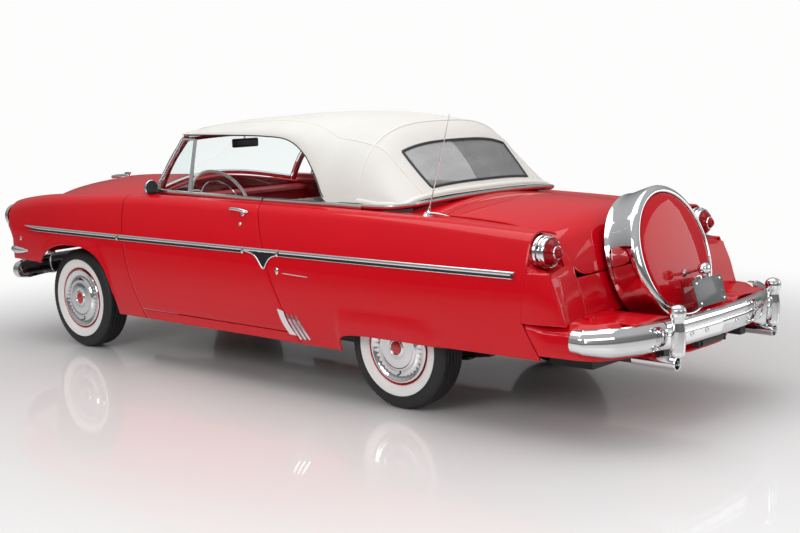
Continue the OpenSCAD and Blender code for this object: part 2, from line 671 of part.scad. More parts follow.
module dashboard() {
  d = door_front + 70;
  color(PAINT) difference() {
    translate([0, y_at(d), 0]) rotate([90, 0, 90]) translate([0, 0, -seat_half])
      linear_extrude(2 * seat_half) polygon([
        [0, dash_z], [50, dash_z], [86, dash_z + 60], [74, dash_z + 150], [30, dash_z + 190],
        [0, dash_z + 190]
      ]);
    on_column() translate([0, 0, -480]) cylinder(r = column_radius + 4, h = 480);
  }
}

// Steering: the column leans back and the wheel turns on it.
column_x = 372;
column_lean = 30;
column_radius = 19;
hub_d = door_front + 364;
hub_z = 1000;
steering_radius = 212;
module on_column() {
  translate([column_x, y_at(hub_d), hub_z]) rotate([column_lean - 90, 0, 0]) children();
}
module steering_column() {
  color(DARK) on_column() {
    translate([0, 0, -375]) cylinder(r = column_radius, h = 361);
    translate([0, 0, -14.5]) cylinder(r = 9, h = 26);
  }
}
module steering_wheel() {
  color(WHITE) on_column() {
    rotate_extrude() translate([steering_radius, 0]) circle(r = 11);
    difference() {
      union() {
        translate([0, 0, -12]) cylinder(r = 36, h = 40);
        for (a = [0, 180]) rotate([0, 0, a]) translate([30, 0, 0]) rotate([0, 90, 0])
          cylinder(r = 8, h = steering_radius - 34);
      }
      translate([0, 0, -13]) cylinder(r = 9.05, h = 27);
    }
    rotate_extrude() translate([steering_radius - 70, 18]) circle(r = 5);
    for (a = [0, 180]) rotate([0, 0, a]) translate([34, 0, 18]) rotate([0, 90, 0])
      cylinder(r = 4, h = steering_radius - 104);
  }
}

// ---------------------------------------------------------------------------------------------
// Running gear
// ---------------------------------------------------------------------------------------------

rail_x = 370;
rail_wall = 56;
bumper_room = 156;
module chassis_frame() {
  low = hub_height - 110;
  path = [
    [-front_overhang + bumper_room, low + 130], [480, low + 130], [600, low], [heel - 70, low],
    [wheelbase - 260, low + 260], [wheelbase + 300, low + 260], [wheelbase + 520, low + 150],
    [wheelbase + rear_overhang - bumper_room, low + 150]
  ];
  outline = concat(path, [for (i = [7:-1:0]) path[i] + [0, 90]]);
  color(DARK) {
    both_sides() translate([rail_x, front_axle_y, 0]) rotate([90, 0, 90])
      linear_extrude(rail_wall) polygon(outline);
    for (p = [[-620, low + 150], [700, low], [1500, low], [2250, low],
      [wheelbase + 620, low + 170], [wheelbase + 980, low + 170]])
      translate([-rail_x - 1, y_at(p[0]), p[1]]) cube([2 * rail_x + 2, 60, 50]);
  }
}
module engine_block() {
  z = hub_height + 53;
  color(DARK) {
    translate([-160, y_at(-380), z]) cube([320, 720, 330]);
    both_sides() translate([165, y_at(-360), z + 240]) rotate([0, 25, 0]) cube([120, 640, 150]);
    translate([0, y_at(-40), z + 345]) cylinder(r = 190, h = 80);
    translate([0, y_at(341), z + 130]) rotate([-90, 0, 0]) cylinder(r1 = 140, r2 = 90, h = 200);
    translate([-290, y_at(-620), z + 45]) cube([580, 60, 435]);
  }
}
module exhaust() {
  y_tip = y_at(bar_station + 36);
  pipe_z = bumper_low - 50;
  color(CHROME) both_sides() translate([guard_x + 12, 0, 0]) {
    difference() {
      translate([0, y_tip, pipe_z]) rotate([90, 0, 0]) cylinder(r = exhaust_bore + 6, h = 240);
      translate([0, y_tip + 1, pipe_z]) rotate([90, 0, 0]) cylinder(r = exhaust_bore, h = 200);
    }
    translate([0, y_tip - 239, pipe_z]) rotate([90, 0, 0])
      cylinder(r = exhaust_bore, h = y_tip - 239 - y_at(wheelbase + spring_half + 20));
  }
}
module rear_axle() {
  end = wheel_x - 84;
  color(DARK) {
    translate([0, rear_axle_y, hub_height]) rotate([0, 90, 0]) {
      cylinder(r = 38, h = 2 * end, center = true);
      cylinder(r = stub_radius, h = 2 * (wheel_x + 42), center = true);
      translate([0, 0, -70]) cylinder(r = 120, h = 140);
    }
    translate([0, rear_axle_y - 100, floor_z - 38]) rotate([90, 0, 0])
      cylinder(r = 24, h = rear_axle_y - 100 - y_at(560));
  }
}
spring_half = 560;
module leaf_springs() {
  rise = 70;
  color(DARK) both_sides() for (k = [0:2]) let (half_span = spring_half - 150 * k)
    translate([rail_x + rail_wall + 20, rear_axle_y, hub_height - 76 - 14 * k])
      rotate([90, 0, 90]) linear_extrude(56) polygon(concat(
        [for (i = [-4:4]) [i / 4 * half_span, rise * (i / 4 * half_span / spring_half) ^ 2]],
        [for (i = [4:-1:-4]) [i / 4 * half_span, rise * (i / 4 * half_span / spring_half) ^ 2 + 12]]
      ));
}
module fuel_tank() {
  color(DARK) translate([-rail_x + 20, y_at(wheelbase + 690), floor_z - 90])
    cube([2 * rail_x - 40, 270, 120]);
}

kingpin_x = wheel_x - tyre_width / 2 - 20;
kingpin_radius = 12;
upright_half = 100;
module control_arms() {
  inner = rail_x + rail_wall + 1.5;
  arm = [[inner, -110], [inner, 110], [kingpin_x, 26], [kingpin_x, -26]];
  color(DARK) both_sides() for (z = [-upright_half - 20, upright_half + 8])
    translate([0, front_axle_y, hub_height + z]) difference() {
      linear_extrude(12) union() {
        polygon(arm);
        translate([kingpin_x, 0]) circle(r = 26);
      }
      translate([kingpin_x, 0, -1]) cylinder(r = kingpin_radius + 0.5, h = 14);
    }
}
module knuckle() {
  color(DARK) translate([kingpin_x, front_axle_y, hub_height]) {
    translate([-13, -40, -upright_half]) cube([26, 80, 2 * upright_half]);
    translate([0, 0, -upright_half - 24]) cylinder(r = kingpin_radius, h = 2 * upright_half + 48);
    rotate([0, 90, 0]) cylinder(r = stub_radius, h = wheel_x - kingpin_x + 42);
  }
}
// A wheel turned about the X axis, outboard side towards +X, at the height of the hubs.
module on_hub(side, y) {
  translate([side * wheel_x, y, hub_height]) rotate([0, side * 90, 0]) rotate_extrude() children();
}
rim_barrel = rim_radius - 16;
module tyre(side, y) {
  w = tyre_width / 2;
  r = tyre_radius;
  bead = rim_barrel + 1.5;
  color(DARK) on_hub(side, y) polygon([
    [bead, -w + 22], [rim_radius + 2, -w + 22], [rim_radius + 14, -w + 8],
    [lerp(rim_radius, r, 0.5), -w], [r - 34, -w + 5], [r - 12, -w + 20], [r - 2, -w + 34],
    [r, -w + 48], [r, w - 48], [r - 2, w - 34], [r - 12, w - 20], [r - 34, w - 5],
    [lerp(rim_radius, r, 0.5), w], [rim_radius + 14, w - 8], [rim_radius + 2, w - 22],
    [bead, w - 22]
  ]);
}
module wheel(side, y) {
  w = tyre_width / 2 - 20.5;
  b = stub_radius + 0.05;
  color(CHROME) on_hub(side, y) polygon([
    [b, -50], [62, -50], [62, 0], [rim_barrel - 8, 14], [rim_barrel - 8, -w - 6],
    [rim_radius, -w - 6], [rim_radius, -w], [rim_barrel, -w], [rim_barrel, w], [rim_radius, w],
    [rim_radius, w + 6], [rim_radius - 14, w + 10], [rim_radius - 50, w + 4], [120, w + 14],
    [70, w + 10], [60, w + 19], [0, w + 24], [0, 43], [b, 43]
  ]);
}

// ---------------------------------------------------------------------------------------------
// Spare wheel on its tilting carrier
// ---------------------------------------------------------------------------------------------

spare_d = wheelbase + 1246;
spare_z = 860;
band_radius = spare_radius + spare_lip;
// In the cover's own frame +Z is its axis, to the rear, and +Y runs down its face.
module at_spare() {
  translate([0, y_at(spare_d), spare_z]) rotate([spare_lean - 90, 0, 0]) children();
}
module on_spare() {
  at_spare() rotate_extrude() children();
}
module spare_cover() {
  color(PAINT) on_spare() polygon([
    [0, -10], [spare_radius - 2, -10], [spare_radius - 2, 0], [spare_radius * 0.7, 9], [0, 16]
  ]);
  color(DARK) on_spare() polygon([
    [90, -spare_depth + 6], [band_radius - 24, -spare_depth + 30], [band_radius - 24, -30],
    [90, -12]
  ]);
}
module spare_band() {
  color(CHROME) on_spare() polygon([
    [spare_radius, -12], [band_radius - 12, -22], [band_radius - 12, -spare_depth],
    [band_radius, -spare_depth], [band_radius, -16], [band_radius - 14, 2],
    [spare_radius + 8, 4], [spare_radius, -2]
  ]);
}
// Blank plate that stands off the cover on two posts, with its lamp over it.
plate_off = 128;
plate_top = 165;
module plate_bracket() {
  color(DARK) at_spare() {
    translate([-148, plate_top, plate_off]) cube([296, 140, 5]);
    for (x = [-46, 40]) translate([x, plate_top - 22, 19]) cube([6, 40, plate_off - 20]);
    translate([0, plate_top - 50, 19]) cylinder(r = 7, h = plate_off - 20);
    translate([0, plate_top - 50, plate_off - 18]) cylinder(r = 24, h = 36);
  }
}
hinge_d = spare_d + 200;
hinge_z = 420;
hinge_radius = 10;
module carrier_hinge() {
  color(DARK) {
    translate([0, y_at(hinge_d), hinge_z]) rotate([0, 90, 0])
      cylinder(r = hinge_radius, h = 284, center = true);
    both_sides() translate([130, y_at(hinge_d - 20), hinge_z - 20])
      cube([12, bar_station - hinge_d - 36, 40]);
  }
}
module spare_arm() {
  color(DARK) difference() {
    union() {
      translate([0, y_at(hinge_d), hinge_z]) rotate([0, 90, 0])
        cylinder(r = 18, h = 220, center = true);
      both_sides() translate([60, y_at(hinge_d), hinge_z]) rotate([90, 0, 90])
        linear_extrude(14) polygon([
          [0, -18], [0, 18], [-60, 30], [-220, 42], [-220, 18], [-60, -6]
        ]);
    }
    translate([0, y_at(hinge_d), hinge_z]) rotate([0, 90, 0])
      cylinder(r = hinge_radius + 0.05, h = 222, center = true);
  }
}

// ---------------------------------------------------------------------------------------------
// Left and right pieces
// ---------------------------------------------------------------------------------------------

module front_fender_left() front_fender();
module rear_quarter_left() rear_quarter();
module door_left() door();
module vent_window_left() vent_window();
module knuckle_left() knuckle();
module front_fender_right() mirror([1, 0, 0]) front_fender();
module rear_quarter_right() mirror([1, 0, 0]) rear_quarter();
module door_right() mirror([1, 0, 0]) door();
module vent_window_right() mirror([1, 0, 0]) vent_window();
module knuckle_right() mirror([1, 0, 0]) knuckle();
module tyre_front_left() tyre(1, front_axle_y);
module wheel_front_left() wheel(1, front_axle_y);
module tyre_front_right() tyre(-1, front_axle_y);
module wheel_front_right() wheel(-1, front_axle_y);
module tyre_rear_left() tyre(1, rear_axle_y);
module wheel_rear_left() wheel(1, rear_axle_y);
module tyre_rear_right() tyre(-1, rear_axle_y);
module wheel_rear_right() wheel(-1, rear_axle_y);

chassis_frame();
floor_pan();
engine_block();
front_fender_left();
front_fender_right();
rear_quarter_left();
rear_quarter_right();
cowl_panel();
rocker_panels();
deck_panel();
tail_panel();
rear_pan();
nose_panel();
grille();
headlamps();
taillamps();
front_bumper();
rear_bumper();
windshield_frame();
windshield_glass();
convertible_top();
rear_window();
dashboard();
steering_column();
front_seat();
rear_seat();
exhaust();
rear_axle();
leaf_springs();
fuel_tank();
control_arms();
plate_bracket();
carrier_hinge();
door_left();
door_right();
vent_window_left();
vent_window_right();
hood();
trunk_lid();
spare_cover();
spare_band();
spare_arm();
steering_wheel();
knuckle_left();
knuckle_right();
tyre_front_left();
tyre_front_right();
tyre_rear_left();
tyre_rear_right();
wheel_front_left();
wheel_front_right();
wheel_rear_left();
wheel_rear_right();
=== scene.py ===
"""A 1950s two-door convertible car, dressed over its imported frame.

The car stands on the ground at the origin and faces -Y, with +X on the driver's left side. Body
stations are measured rearwards from the front axle, in metres, as the frame's own solids are.
"""

from __future__ import annotations

import logging
import math
from dataclasses import dataclass, field
from enum import Enum
from typing import Callable, Sequence

import bpy
import numpy as np
from mathutils import Matrix, Vector


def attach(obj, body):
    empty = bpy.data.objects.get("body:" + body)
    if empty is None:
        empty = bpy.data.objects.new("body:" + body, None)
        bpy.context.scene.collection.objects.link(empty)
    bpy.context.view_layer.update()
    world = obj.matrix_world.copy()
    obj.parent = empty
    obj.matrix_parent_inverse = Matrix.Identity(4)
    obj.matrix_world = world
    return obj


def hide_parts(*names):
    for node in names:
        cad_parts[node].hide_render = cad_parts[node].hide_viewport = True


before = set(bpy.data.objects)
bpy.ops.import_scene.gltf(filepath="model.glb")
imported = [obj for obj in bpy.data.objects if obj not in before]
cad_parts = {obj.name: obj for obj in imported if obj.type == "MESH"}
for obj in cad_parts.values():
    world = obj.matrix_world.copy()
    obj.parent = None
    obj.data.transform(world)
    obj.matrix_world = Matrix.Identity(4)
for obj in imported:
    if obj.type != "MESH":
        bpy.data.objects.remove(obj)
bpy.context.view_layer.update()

logging.basicConfig(level=logging.INFO, format="%(name)s: %(message)s")
LOG = logging.getLogger("convertible")

Array = np.ndarray
Surface = Callable[[Array, Array], Array]
Point = tuple[float, float, float]


class Side(Enum):
    """The two sides of the car. The value is the sign of X."""

    LEFT = 1.0
    RIGHT = -1.0

    @property
    def word(self) -> str:
        """The side's name in lower case."""
        return self.name.lower()


# --- Mesh work ------------------------------------------------------------------------------


def deselect() -> None:
    """Leave object mode with nothing selected."""
    if bpy.context.mode != "OBJECT":
        bpy.ops.object.mode_set(mode="OBJECT")
    bpy.ops.object.select_all(action="DESELECT")


def activate(piece: bpy.types.Object) -> None:
    """Select one piece alone and make it the active one."""
    deselect()
    piece.select_set(True)
    bpy.context.view_layer.objects.active = piece


def settle(piece: bpy.types.Object) -> bpy.types.Object:
    """Put a piece's place into its mesh, so that its object sits at the origin."""
    activate(piece)
    bpy.ops.object.transform_apply(location=True, rotation=True, scale=True)
    return piece


def edit(piece: bpy.types.Object, *steps: Callable[[], object]) -> bpy.types.Object:
    """Run edit-mode operators on all of a piece.

    Args:
        piece: The mesh object to work on.
        steps: Calls that each run one operator.

    Returns:
        The same piece, back in object mode.
    """
    activate(piece)
    bpy.ops.object.mode_set(mode="EDIT")
    bpy.ops.mesh.select_all(action="SELECT")
    for step in steps:
        step()
    bpy.ops.object.mode_set(mode="OBJECT")
    return piece


def finish_with(piece: bpy.types.Object, kind: str, **settings: object) -> bpy.types.Object:
    """Add one modifier and apply it.

    Args:
        piece: The mesh object.
        kind: The modifier's type, such as "SOLIDIFY".
        settings: The modifier's own values.

    Returns:
        The same piece.
    """
    activate(piece)
    modifier = piece.modifiers.new(kind.title(), kind)
    for name, value in settings.items():
        setattr(modifier, name, value)
    bpy.ops.object.modifier_apply(modifier=modifier.name)
    return piece


def smooth(piece: bpy.types.Object, degrees: float = 35.0) -> bpy.types.Object:
    """Shade a piece smooth, except over edges sharper than the angle."""
    activate(piece)
    bpy.ops.object.shade_smooth_by_angle(angle=math.radians(degrees))
    return piece


def merge(piece: bpy.types.Object, distance: float = 1e-5) -> bpy.types.Object:
    """Join doubled points and turn every face outwards."""
    return edit(
        piece,
        lambda: bpy.ops.mesh.remove_doubles(threshold=distance),
        lambda: bpy.ops.mesh.normals_make_consistent(inside=False),
    )


def coordinates(piece: bpy.types.Object) -> Array:
    """The piece's points as rows of X, Y and Z."""
    flat = np.empty(len(piece.data.vertices) * 3)
    piece.data.vertices.foreach_get("co", flat)
    return flat.reshape(-1, 3)


def set_coordinates(piece: bpy.types.Object, points: Array) -> None:
    """Move the piece's points to these places."""
    piece.data.vertices.foreach_set("co", np.ascontiguousarray(points, dtype=float).ravel())
    piece.data.update()


def join(name: str, pieces: Sequence[bpy.types.Object]) -> bpy.types.Object:
    """Join pieces into one object of that name."""
    activate(pieces[0])
    for piece in pieces[1:]:
        piece.select_set(True)
    if len(pieces) > 1:
        bpy.ops.object.join()
    pieces[0].name = name
    return pieces[0]


def mirrored(piece: bpy.types.Object, name: str) -> bpy.types.Object:
    """Copy a piece to the other side of the car, with its own mesh."""
    copy = piece.copy()
    copy.data = piece.data.copy()
    copy.name = name
    bpy.context.scene.collection.objects.link(copy)
    set_coordinates(copy, coordinates(copy) * np.array([-1.0, 1.0, 1.0]))
    return edit(copy, lambda: bpy.ops.mesh.flip_normals())


def sheet_of(
    name: str, surface: Surface, across: int, along: int, turned: bool = False
) -> bpy.types.Object:
    """Lay a grid on a surface.

    Args:
        name: The new object's name.
        surface: Gives rows of points for arrays u and v, each from 0 to 1.
        across: Cells along u.
        along: Cells along v.
        turned: Whether the faces are turned over.

    Returns:
        The sheet, one face thick, with u and v kept in its UV map.
    """
    deselect()
    bpy.ops.mesh.primitive_grid_add(x_subdivisions=across, y_subdivisions=along, size=1.0)
    piece = bpy.context.object
    piece.name = name
    flat = coordinates(piece) + 0.5
    set_coordinates(piece, surface(np.clip(flat[:, 0], 0, 1), np.clip(flat[:, 1], 0, 1)))
    if turned:
        edit(piece, lambda: bpy.ops.mesh.flip_normals())
    return piece


def panel(
    name: str, surface: Surface, across: int, along: int, wall: float, turned: bool = False
) -> bpy.types.Object:
    """Make a pressed panel whose outer face lies on a surface and whose wall is behind it."""
    piece = sheet_of(name, surface, across, along, turned)
    finish_with(piece, "SOLIDIFY", thickness=wall, offset=-1.0, use_even_offset=False)
    return smooth(piece)


def ring_of(
    name: str, surface: Surface, around: int, along: int, caps: bool = True
) -> bpy.types.Object:
    """Close a grid into a tube round u, with its ends along v filled.

    Args:
        name: The new object's name.
        surface: Gives rows of points; u = 0 and u = 1 are the same place.
        around: Cells round the tube.
        along: Cells along it.
        caps: Whether open ends get a face.

    Returns:
        The closed tube, shaded smooth.
    """
    piece = sheet_of(name, surface, around, along)
    merge(piece, 1e-6)
    if caps:
        activate(piece)
        bpy.ops.object.mode_set(mode="EDIT")
        bpy.ops.mesh.select_mode(type="VERT")
        bpy.ops.mesh.select_all(action="DESELECT")
        bpy.ops.mesh.select_non_manifold()
        bpy.ops.mesh.fill_holes(sides=0)
        bpy.ops.mesh.select_all(action="SELECT")
        bpy.ops.mesh.normals_make_consistent(inside=False)
        bpy.ops.object.mode_set(mode="OBJECT")
    return smooth(piece)


def resample(points: Sequence[Sequence[float]], smoothly: bool = True) -> Callable[[Array], Array]:
    """A curve through points, read by the way along it from 0 to 1."""
    table = np.array(points, dtype=float)
    way = np.concatenate([[0.0], np.cumsum(np.linalg.norm(np.diff(table, axis=0), axis=1))])
    way /= way[-1]
    columns = np.column_stack([way, table])
    if not smoothly:
        return lambda t: np.column_stack([np.interp(t, way, table[:, k]) for k in range(table.shape[1])])
    curve = Curve(columns)
    return lambda t: np.column_stack([curve(t, k + 1) for k in range(table.shape[1])])


@dataclass(frozen=True)
class Curve:
    """A smooth curve through the rows of a table, whose first column is sorted."""

    table: Array

    def __call__(self, at: Array, column: int) -> Array:
        """The column's value at each place, as the frame's own panels read it."""
        table = np.asarray(self.table, dtype=float)
        at = np.asarray(at, dtype=float)
        x, y = table[:, 0], table[:, column]
        count = len(x)
        index = np.clip(np.searchsorted(x, at, side="right") - 1, 0, count - 2)
        before, after = np.maximum(np.arange(count) - 1, 0), np.minimum(np.arange(count) + 1, count - 1)
        slope = (y[after] - y[before]) / (x[after] - x[before])
        step = x[index + 1] - x[index]
        t = np.clip((at - x[index]) / step, 0, 1)
        return (
            y[index] * (2 * t**3 - 3 * t**2 + 1)
            + slope[index] * step * (t**3 - 2 * t**2 + t)
            + y[index + 1] * (3 * t**2 - 2 * t**3)
            + slope[index + 1] * step * (t**3 - t**2)
        )


def unit(rows: Array) -> Array:
    """Each row scaled to length one."""
    return rows / np.maximum(np.linalg.norm(rows, axis=-1, keepdims=True), 1e-12)


def sweep(
    name: str,
    path: Callable[[Array], Array],
    profile: Sequence[Sequence[float]],
    facing: Callable[[Array], Array],
    steps: int,
    scale: Callable[[Array], Array] | None = None,
    degrees: float = 35.0,
) -> bpy.types.Object:
    """Run a closed profile along a path.

    Args:
        name: The new object's name.
        path: Places along the path, for an array from 0 to 1.
        profile: Corners of the section as (out, up) pairs, in metres.
        facing: The outward direction at each place.
        steps: Cells along the path.
        scale: Size of the section at each place, or None for 1.
        degrees: Angle above which an edge stays sharp.

    Returns:
        The closed bar.
    """
    corners = np.array([*profile, profile[0]], dtype=float)

    def surface(u: Array, v: Array) -> Array:
        """The bar's skin, round the profile by u and along the path by v."""
        index = np.round(u * (len(corners) - 1)).astype(int)
        e = 1e-3
        along = unit(path(np.clip(v + e, 0, 1)) - path(np.clip(v - e, 0, 1)))
        out = facing(v)
        out = unit(out - along * np.sum(out * along, axis=1, keepdims=True))
        up = np.cross(along, out)
        size = np.ones_like(v) if scale is None else scale(v)
        return (
            path(v)
            + out * (corners[index, 0] * size)[:, None]
            + up * (corners[index, 1] * size)[:, None]
        )

    piece = ring_of(name, surface, len(corners) - 1, steps)
    return smooth(piece, degrees)


def rod(name: str, points: Sequence[Sequence[float]], radius: float, steps: int = 24, sides: int = 16,
        smoothly: bool = True, taper: Sequence[float] = (1.0, 1.0)) -> bpy.types.Object:
    """Make a round rod along points, whose radius may taper from its first end to its last."""
    path = resample(points, smoothly)
    angles = np.linspace(0, 2 * math.pi, sides, endpoint=False)
    profile = [(radius * math.cos(a), radius * math.sin(a)) for a in angles]
    first, last = np.array(points[0], float), np.array(points[-1], float)
    line = unit((last - first)[None])[0]
    sidewise = np.array([0.0, 0.0, 1.0]) if abs(line[2]) < 0.9 else np.array([1.0, 0.0, 0.0])
    return sweep(
        name, path, profile, lambda v: np.tile(sidewise, (len(v), 1)), steps,
        scale=lambda v: np.interp(v, [0, 1], taper), degrees=60,
    )


def turned(
    name: str,
    profile: Sequence[Sequence[float]],
    centre: Point,
    axis: Point,
    steps: int = 64,
    degrees: float = 30.0,
    smoothly: bool = False,
) -> bpy.types.Object:
    """Turn a profile about an axis.

    Args:
        name: The new object's name.
        profile: (radius, way along the axis) pairs in metres. A closed shape repeats its first.
        centre: Where the axis starts.
        axis: Its direction.
        steps: Faces round it.
        degrees: Angle above which an edge stays sharp.
        smoothly: Whether a curve runs through the profile's points.

    Returns:
        The turned piece, closed at its poles.
    """
    corners = np.array(profile, dtype=float)
    if smoothly:
        corners = resample(corners)(np.linspace(0, 1, 4 * len(corners)))
    along = unit(np.array([axis], dtype=float))[0]
    helper = np.array([0.0, 0.0, 1.0]) if abs(along[2]) < 0.9 else np.array([0.0, 1.0, 0.0])
    first = unit(np.cross(along, helper)[None])[0]
    second = np.cross(along, first)

    def surface(u: Array, v: Array) -> Array:
        """Round the axis by u and along the profile by v."""
        index = np.round(v * (len(corners) - 1)).astype(int)
        radius, height = corners[index, 0], corners[index, 1]
        turn = 2 * math.pi * u
        return (
            np.array(centre)
            + np.outer(radius * np.cos(turn), first)
            + np.outer(radius * np.sin(turn), second)
            + np.outer(height, along)
        )

    piece = ring_of(name, surface, steps, len(corners) - 1)
    return smooth(piece, degrees)


def block(name: str, low: Point, high: Point, bevel: float = 0.004, segments: int = 3) -> bpy.types.Object:
    """Make a box between two corners with its edges rounded."""
    deselect()
    centre = [(a + b) / 2 for a, b in zip(low, high)]
    bpy.ops.mesh.primitive_cube_add(size=1.0, location=centre)
    piece = bpy.context.object
    piece.scale = [b - a for a, b in zip(low, high)]
    piece.name = name
    settle(piece)
    if bevel > 0:
        finish_with(piece, "BEVEL", width=bevel, segments=segments, limit_method="ANGLE")
    return smooth(piece)


# --- Finishes -------------------------------------------------------------------------------


def new_group(name: str, inputs: dict[str, float], outputs: Sequence[str]) -> bpy.types.NodeTree:
    """Start a shader node group with named float inputs and outputs."""
    group = bpy.data.node_groups.new(name, "ShaderNodeTree")
    group.interface.new_socket("Vector", in_out="INPUT", socket_type="NodeSocketVector")
    for label, value in inputs.items():
        socket = group.interface.new_socket(label, in_out="INPUT", socket_type="NodeSocketFloat")
        socket.default_value = value
    for label in outputs:
        group.interface.new_socket(label, in_out="OUTPUT", socket_type="NodeSocketFloat")
    return group


def mottle_group() -> bpy.types.NodeTree:
    """Soft patches: a value round 0.5 that drifts over the surface, for hand-finished tones."""
    group = new_group("soft_mottle", {"Scale": 4.0, "Detail": 4.0}, ["Value", "Fine"])
    nodes, links = group.nodes, group.links
    start, end = nodes.new("NodeGroupInput"), nodes.new("NodeGroupOutput")
    broad, fine = nodes.new("ShaderNodeTexNoise"), nodes.new("ShaderNodeTexNoise")
    scale = nodes.new("ShaderNodeMath")
    scale.operation = "MULTIPLY"
    scale.inputs[1].default_value = 24.0
    links.new(start.outputs["Vector"], broad.inputs["Vector"])
    links.new(start.outputs["Vector"], fine.inputs["Vector"])
    links.new(start.outputs["Scale"], broad.inputs["Scale"])
    links.new(start.outputs["Detail"], broad.inputs["Detail"])
    links.new(start.outputs["Scale"], scale.inputs[0])
    links.new(scale.outputs[0], fine.inputs["Scale"])
    links.new(broad.outputs["Fac"], end.inputs["Value"])
    links.new(fine.outputs["Fac"], end.inputs["Fine"])
    return group


def weave_group() -> bpy.types.NodeTree:
    """Fine crossed threads: a height from 0 to 1 for cloth and pinpoint vinyl."""
    group = new_group("cross_weave", {"Pitch": 900.0}, ["Height"])
    nodes, links = group.nodes, group.links
    start, end = nodes.new("NodeGroupInput"), nodes.new("NodeGroupOutput")
    split = nodes.new("ShaderNodeSeparateXYZ")
    links.new(start.outputs["Vector"], split.inputs[0])
    waves = []
    for a, b in (("X", "Y"), ("Z", "Y")):
        add, times, wave = (nodes.new("ShaderNodeMath") for _ in range(3))
        add.operation, times.operation, wave.operation = "ADD", "MULTIPLY", "SINE"
        links.new(split.outputs[a], add.inputs[0])
        links.new(split.outputs[b], add.inputs[1])
        links.new(add.outputs[0], times.inputs[0])
        links.new(start.outputs["Pitch"], times.inputs[1])
        links.new(times.outputs[0], wave.inputs[0])
        waves.append(wave)
    both = nodes.new("ShaderNodeMath")
    both.operation = "MULTIPLY_ADD"
    links.new(waves[0].outputs[0], both.inputs[0])
    links.new(waves[1].outputs[0], both.inputs[1])
    both.inputs[2].default_value = 0.5
    links.new(both.outputs[0], end.inputs["Height"])
    return group


@dataclass(frozen=True)
class Finish:
    """A surface finish: its base colour, how it shines, and the fine relief that it carries."""

    name: str
    colour: tuple[float, float, float]
    slot: str
    metallic: float = 0.0
    roughness: float = 0.5
    coat: float = 0.0
    coat_roughness: float = 0.03
    specular: float = 0.5
    alpha: float = 1.0
    transmission: float = 0.0
    ior: float = 1.5
    sheen: float = 0.0
    tone: float = 0.04
    tone_scale: float = 3.0
    rough_spread: float = 0.05
    relief: float = 0.0
    weave: float = 0.0
    weave_pitch: float = 2600.0

    def material(self) -> bpy.types.Material:
        """The finish as a material, made once."""
        found = bpy.data.materials.get(self.name)
        if found is not None:
            return found
        made = bpy.data.materials.new(self.name)
        made.use_nodes = True
        nodes, links = made.node_tree.nodes, made.node_tree.links
        shader = nodes["Principled BSDF"]
        shader.inputs["Metallic"].default_value = self.metallic
        shader.inputs["Coat Weight"].default_value = self.coat
        shader.inputs["Coat Roughness"].default_value = self.coat_roughness
        shader.inputs["Specular IOR Level"].default_value = self.specular
        shader.inputs["Alpha"].default_value = self.alpha
        shader.inputs["Transmission Weight"].default_value = self.transmission
        shader.inputs["IOR"].default_value = self.ior
        shader.inputs["Sheen Weight"].default_value = self.sheen
        place = nodes.new("ShaderNodeTexCoord")
        mottle = self.group_node(nodes, "soft_mottle", mottle_group)
        mottle.inputs["Scale"].default_value = self.tone_scale
        links.new(place.outputs["Object"], mottle.inputs["Vector"])
        self.dress_colour(nodes, links, mottle, shader)
        rough = nodes.new("ShaderNodeMapRange")
        rough.inputs["To Min"].default_value = max(self.roughness - self.rough_spread, 0.0)
        rough.inputs["To Max"].default_value = self.roughness + self.rough_spread
        links.new(mottle.outputs["Value"], rough.inputs["Value"])
        links.new(rough.outputs["Result"], shader.inputs["Roughness"])
        self.dress_relief(nodes, links, place, mottle, shader)
        return made

    @staticmethod
    def group_node(
        nodes: bpy.types.Nodes, name: str, build: Callable[[], bpy.types.NodeTree]
    ) -> bpy.types.Node:
        """A node that holds the named group, which is built on its first use."""
        node = nodes.new("ShaderNodeGroup")
        node.node_tree = bpy.data.node_groups.get(name) or build()
        return node

    def dress_colour(
        self, nodes: bpy.types.Nodes, links: bpy.types.NodeLinks,
        mottle: bpy.types.Node, shader: bpy.types.Node,
    ) -> None:
        """Let the base colour drift a little round its own value."""
        ramp = nodes.new("ShaderNodeValToRGB")
        ramp.color_ramp.elements[0].position = 0.3
        ramp.color_ramp.elements[1].position = 0.7
        for element, shade in zip(ramp.color_ramp.elements, (1 - self.tone, 1 + self.tone)):
            element.color = (*(min(c * shade, 1.0) for c in self.colour), 1.0)
        links.new(mottle.outputs["Value"], ramp.inputs["Fac"])
        links.new(ramp.outputs["Color"], shader.inputs["Base Color"])

    def dress_relief(
        self, nodes: bpy.types.Nodes, links: bpy.types.NodeLinks, place: bpy.types.Node,
        mottle: bpy.types.Node, shader: bpy.types.Node,
    ) -> None:
        """Add the finish's fine grain and weave as a bump."""
        normal = None
        if self.relief > 0:
            grain = nodes.new("ShaderNodeBump")
            grain.inputs["Strength"].default_value = 1.0
            grain.inputs["Distance"].default_value = self.relief
            links.new(mottle.outputs["Fine"], grain.inputs["Height"])
            normal = grain
        if self.weave > 0:
            threads = self.group_node(nodes, "cross_weave", weave_group)
            threads.inputs["Pitch"].default_value = self.weave_pitch
            links.new(place.outputs["Object"], threads.inputs["Vector"])
            cloth = nodes.new("ShaderNodeBump")
            cloth.inputs["Distance"].default_value = self.weave
            links.new(threads.outputs["Height"], cloth.inputs["Height"])
            if normal is not None:
                links.new(normal.outputs["Normal"], cloth.inputs["Normal"])
            normal = cloth
        if normal is not None:
            links.new(normal.outputs["Normal"], shader.inputs["Normal"])


